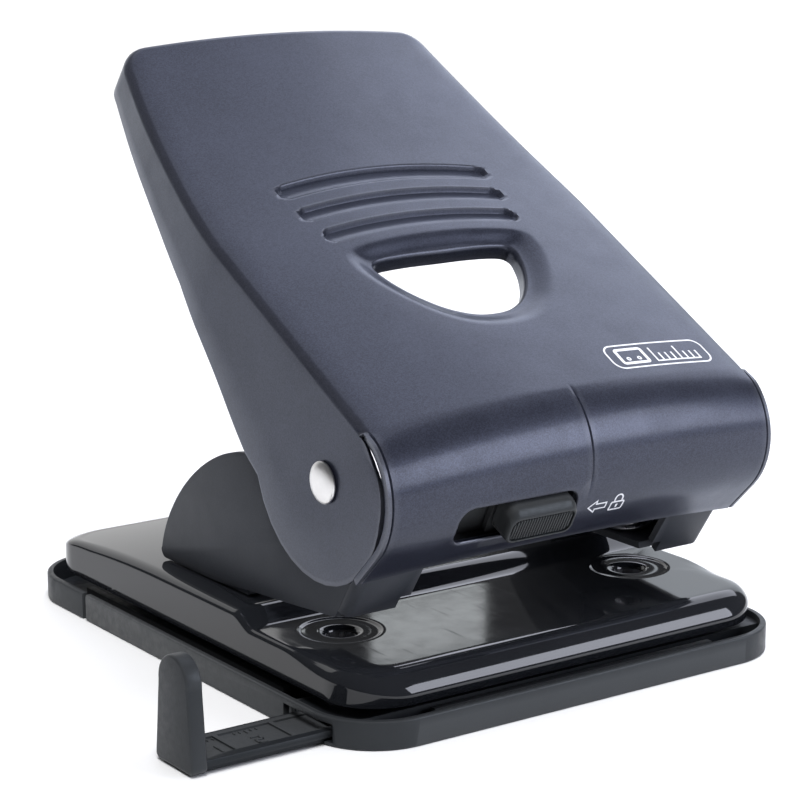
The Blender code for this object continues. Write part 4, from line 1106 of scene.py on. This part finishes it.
def make_guide():
    rails = block((-89.0, GUIDE_Y - 6.8, 1.6), (30.0, GUIDE_Y + 6.8, 3.1))
    body = block((-89.0, GUIDE_Y - 5.8, 0.4), (30.0, GUIDE_Y + 5.8, 2.0))
    crest = arc((GUIDE_Y, 17.9), 5.7, -6, 186, 28)
    profile = [(GUIDE_Y - 7.2, 1.3), (GUIDE_Y - 6.2, 0.4), (GUIDE_Y + 6.2, 0.4), (GUIDE_Y + 7.2, 1.3)] + crest
    tab = softened(slab("YZ", profile, -91.0, -87.3), 0.55, 3, 50.0)
    bar = softened(boolean(rails, [body], "UNION"), 0.25, 2, 50.0)
    mesh = boolean(bar, [tab], "UNION")
    pockets = []
    for left, right in ((-85.6, -79.4), (-78.4, -66.0), (-65.0, -40.0), (-39.0, -14.0), (-13.0, 12.0)):
        pockets.append(block((left, GUIDE_Y - 4.6, 2.65), (right, GUIDE_Y + 4.6, 4.0)))
    mesh = softened(boolean(mesh, pockets), 0.1, 1, 60.0)
    marks = []

    def mark(left, right, front, back):
        marks.append(softened(block((left, front, 2.6), (right, back, 2.95)), 0.08, 1, 50.0))

    for x, strokes in zip((-82.5, -72.2, -52.5, -26.5, -0.5), DIGITS):
        for stroke in strokes:
            (ax, ay), (bx, by) = SEGMENTS[stroke]
            base = GUIDE_Y - 3.6
            mark(x + min(ax, bx) * 1.7 - 1.1, x + max(ax, bx) * 1.7 - 0.65,
                 base + min(ay, by) * 1.7 - 0.22, base + max(ay, by) * 1.7 + 0.22)
        for n in range(-2, 3):
            tick = x + n * 1.3
            top = GUIDE_Y + 4.1
            mark(tick - 0.16, tick + 0.16, top - (1.6 if n == 0 else 1.0), top)
    piece("guide_marks", joined(*marks), "dark_plastic", "guide")
    piece("guide_bar", mesh, "dark_plastic", "guide", "paper_guide", smooth=35.0)


make_guide()


# Lock button, print, rivets and springs ----------------------------------------
def barrel_place(angle):
    """Local X along the handle, local Y up round the barrel, local Z out of it."""
    a = radians(angle)
    out = Vector((0.0, cos(a), sin(a)))
    side = Vector((1.0, 0.0, 0.0))
    turn = Matrix((side, out.cross(side), out)).transposed().to_4x4()
    return Matrix.Translation(Vector((0.0, *BARREL)) * MM) @ turn


def make_lock():
    place = barrel_place(208.0)

    rings = []
    for inset, low, high, corner, height in ((0.0, -4.2, 4.2, 2.4, 13.4), (0.0, -4.2, 4.2, 2.4, 16.8),
                                             (0.0, -4.2, 3.9, 2.3, 17.6), (0.05, -4.15, 3.3, 2.2, 18.3),
                                             (0.15, -4.05, 2.9, 2.1, 18.7), (0.32, -3.9, 2.6, 1.95, 18.93),
                                             (0.5, -3.75, 2.4, 1.8, 19.0), (0.72, -3.5, 2.15, 1.6, 18.93),
                                             (0.85, -3.4, 2.05, 1.5, 18.55)):
        outline = rounded_rectangle(inset - 21.5, -4.0 - inset, low, high, corner, 8)
        rings.append([(x, y, height) for x, y in outline])
    cap = tube(rings)
    cap.transform(place)
    ribs = []
    count = 22
    for k in range(count):
        x = -20.05 + 14.6 * k / (count - 1)
        from_end = min(k, count - 1 - k)
        inset = (0.85, 0.25)[from_end] if from_end < 2 else 0.0
        low, high = -3.15 + inset, 1.8 - inset
        outline = [(x - 0.2, low), (x + 0.2, low), (x + 0.2, high), (x - 0.2, high)]
        ribs.append(slab("XY", outline, 18.4, 18.86, place))
    piece("lock_cap", cap, "lock_plastic", "lock", "lock_button", smooth=40.0)
    piece("lock_ribs", softened(joined(*ribs), 0.12, 2, 50.0), "lock_plastic", "lock")


def stepped(points, closed):
    """The same line with a point at least every millimetre."""
    result = []
    ends = points + points[:1] if closed else points
    for (ax, ay), (bx, by) in zip(ends, ends[1:]):
        steps = max(1, int(hypot(bx - ax, by - ay) + 0.999))
        result += [(ax + (bx - ax) * k / steps, ay + (by - ay) * k / steps) for k in range(steps)]
    return result if closed else result + [points[-1]]


PRINT_HEIGHT = 0.035
PRINT_DEPTH = 0.05


def ribbon(points, width, closed=False):
    """A printed line lying on the handle: one closed strip, mitred at its corners."""
    points = stepped(points, closed)
    count = len(points)
    rings = []
    for k, (x, s) in enumerate(points):
        here = Vector((x, s))
        ahead = Vector(points[(k + 1) % count]) - here if closed or k < count - 1 else None
        behind = here - Vector(points[k - 1]) if closed or k > 0 else None
        d0 = (behind or ahead).normalized()
        d1 = (ahead or behind).normalized()
        n0, n1 = Vector((-d0.y, d0.x)), Vector((-d1.y, d1.x))
        miter = (n0 + n1).normalized()
        reach = miter * (width / 2 / max(0.5, miter.dot(n0)))
        left, right = here + reach, here - reach
        rings.append([on_handle(*left, -PRINT_HEIGHT), on_handle(*right, -PRINT_HEIGHT),
                      on_handle(*right, PRINT_DEPTH), on_handle(*left, PRINT_DEPTH)])
    return tube(rings, closed)


def make_print():
    arrow = [(1.2, -26.2), (3.2, -24.6), (3.2, -25.5), (6.0, -25.5), (6.0, -26.9), (3.2, -26.9), (3.2, -27.8)]
    shackle = [(10.2, -25.7)] + arc((9.2, -25.0), 1.0, 0, 180, 12) + [(8.2, -25.7)]
    body = rounded_rectangle(7.5, 10.9, -28.2, -25.9, 0.3, 3)
    keyhole = [(9.2, -26.6), (9.2, -27.5)]
    marks = joined(ribbon(arrow, 0.3, True), ribbon(shackle, 0.36), ribbon(body, 0.36, True),
                   ribbon(keyhole, 0.5))
    piece("lock_print", marks, "plated_steel", "handle", material=PRINT)
    border = rounded_rectangle(15.6, 43.7, 2.8, 10.3, 2.4, 10)
    page = rounded_rectangle(18.4, 25.6, 4.3, 8.8, 0.5, 4)
    lines = [ribbon(border, 0.42, True), ribbon(page, 0.8, True)]
    lines += [ribbon(arc((x, 5.7), 0.42, 0, 330, 11), 0.34, True) for x in (20.5, 23.5)]
    for k in range(8):
        x = 28.0 + 1.8 * k
        lines.append(ribbon([(x, 4.4), (x, 8.7 if k % 4 == 0 else 6.8)], 0.42))
    lines.append(ribbon([(27.8, 4.2), (40.8, 4.2)], 0.42))
    piece("format_print", joined(*lines), "plated_steel", "handle", material=PRINT)


def make_rivets():
    for side, sign in SIDES:
        head, inner = 51.4, 46.9
        profile = [(0.0, head + 1.42)]
        for k in range(1, 9):
            a = radians(90.0 * k / 8)
            profile.append((4.5 * sin(a) ** 0.9, head + 0.35 + 1.05 * cos(a) ** 1.2 if k < 8 else head + 0.3))
        profile += [(4.45, head + 0.1), (4.3, head), (3.0, head), (3.0, inner), (4.4, inner),
                    (4.5, inner - 0.4), (4.0, inner - 1.3), (2.5, inner - 1.5), (0.0, inner - 1.5)]
        mesh = turned("X", (0.0, 0.0, 0.0), profile, 56)
        if sign < 0:
            mesh.transform(Matrix.Rotation(pi, 4, "Z"))
        mesh.transform(Matrix.Translation((0.0, PIVOT[0] * MM, PIVOT[1] * MM)))
        piece("rivet_" + side, mesh, "plated_steel", "handle", "pivot_rivet_" + side, smooth=40.0)


def make_spring(side):
    """Compression spring round a punch pin, with flat end turns, filling the box of its part."""
    low, high = (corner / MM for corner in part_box("return_spring_" + side))
    middle = (low + high) / 2.0
    wire, turns, flat = 0.5, 8, 0.6
    per_turn, sides = 32, 12
    coil = (high.x - low.x) / 2.0 - wire
    rings = []
    for k in range(turns * per_turn + 1):
        turn = k / per_turn
        climb = min(1.0, max(0.0, (turn - flat) / (turns - 2 * flat)))
        height = low.z + wire + (high.z - low.z - 2 * wire) * climb
        out = Vector((cos(2 * pi * turn), sin(2 * pi * turn), 0.0))
        centre = Vector((middle.x, middle.y, height)) + out * coil
        angles = [2 * pi * n / sides for n in range(sides)]
        rings.append([centre + wire * (out * cos(a) + Vector((0, 0, sin(a)))) for a in angles])
    made = piece("spring_" + side, tube(rings), "spring_steel", "base", "return_spring_" + side, smooth=50.0)
    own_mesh(made)


make_lock()
make_print()
make_rivets()
for name, _ in SIDES:
    make_spring(name)

# Floor and light ----------------------------------------
floor_mesh = bpy.data.meshes.new("floor")
floor_mesh.from_pydata([(-4, -4, 0), (4, -4, 0), (4, 4, 0), (-4, 4, 0)], [], [(0, 1, 2, 3)])
floor = placed("floor", floor_mesh)
floor_paint = Paint("floor")
floor_paint.set(Base_Color=(0.86, 0.86, 0.87, 1.0), Roughness=0.6)
floor_mesh.materials.append(floor_paint.material)

world = bpy.data.worlds.new("studio")
world.use_nodes = True
world.node_tree.nodes["Background"].inputs["Color"].default_value = (0.94, 0.96, 1.0, 1.0)
world.node_tree.nodes["Background"].inputs["Strength"].default_value = 0.09
bpy.context.scene.world = world
bpy.context.scene.view_settings.view_transform = "Standard"


def panel(name, place, target, size, glow, tint=(1.0, 1.0, 1.0)):
    """A soft box of even brightness facing its target."""
    light = bpy.data.lights.new(name, "AREA")
    light.shape = "RECTANGLE"
    light.size, light.size_y = size
    light.energy = glow * pi * size[0] * size[1]
    light.color = tint
    made = placed(name, light)
    made.location = place
    made.rotation_euler = (Vector(target) - Vector(place)).to_track_quat("-Z", "Y").to_euler()


COOL = (0.85, 0.88, 1.0)


def toward(azimuth, height, distance):
    """A place seen from the handle's barrel: azimuth from +Y towards +X, and height, in degrees."""
    a, e = radians(azimuth), radians(height)
    return distance * sin(a) * cos(e), -0.055 + distance * cos(a) * cos(e), 0.055 + distance * sin(e)


BARREL_SPOT = (0.0, -0.055, 0.055)
panel("overhead", toward(60.0, 38.0, 0.9), BARREL_SPOT, (0.75, 0.50), 2.6, COOL)
panel("ceiling", toward(52.0, 68.0, 0.9), BARREL_SPOT, (0.62, 0.50), 1.3, COOL)
panel("front_right", toward(142.0, 20.0, 0.9), BARREL_SPOT, (0.50, 0.42), 7.0, COOL)
panel("backdrop_left", (0.22, 1.9, 1.0), (0.22, 0.0, 1.0), (1.91, 2.0), 0.9)
panel("backdrop_middle", (1.3885, 1.9, 0.805), (1.3885, 0.0, 0.805), (0.169, 0.09), 1.6, (0.92, 0.97, 1.0))
panel("backdrop_right", (2.3, 1.5, 0.65), (0.0, 0.0, 0.65), (1.45, 1.3), 1.15, (0.86, 0.92, 1.0))


def sunlight(name, azimuth, height, strength, softness):
    light = bpy.data.lights.new(name, "SUN")
    light.energy = strength
    light.angle = radians(softness)
    made = placed(name, light)
    there = Vector(toward(azimuth, height, 1.0)) - Vector(BARREL_SPOT)
    made.rotation_euler = (-there).to_track_quat("-Z", "Y").to_euler()
    made.visible_glossy = False


sunlight("camera_left", -145.0, 60.0, 1.8, 26.0)
sunlight("zenith", -145.0, 80.0, 1.6, 26.0)
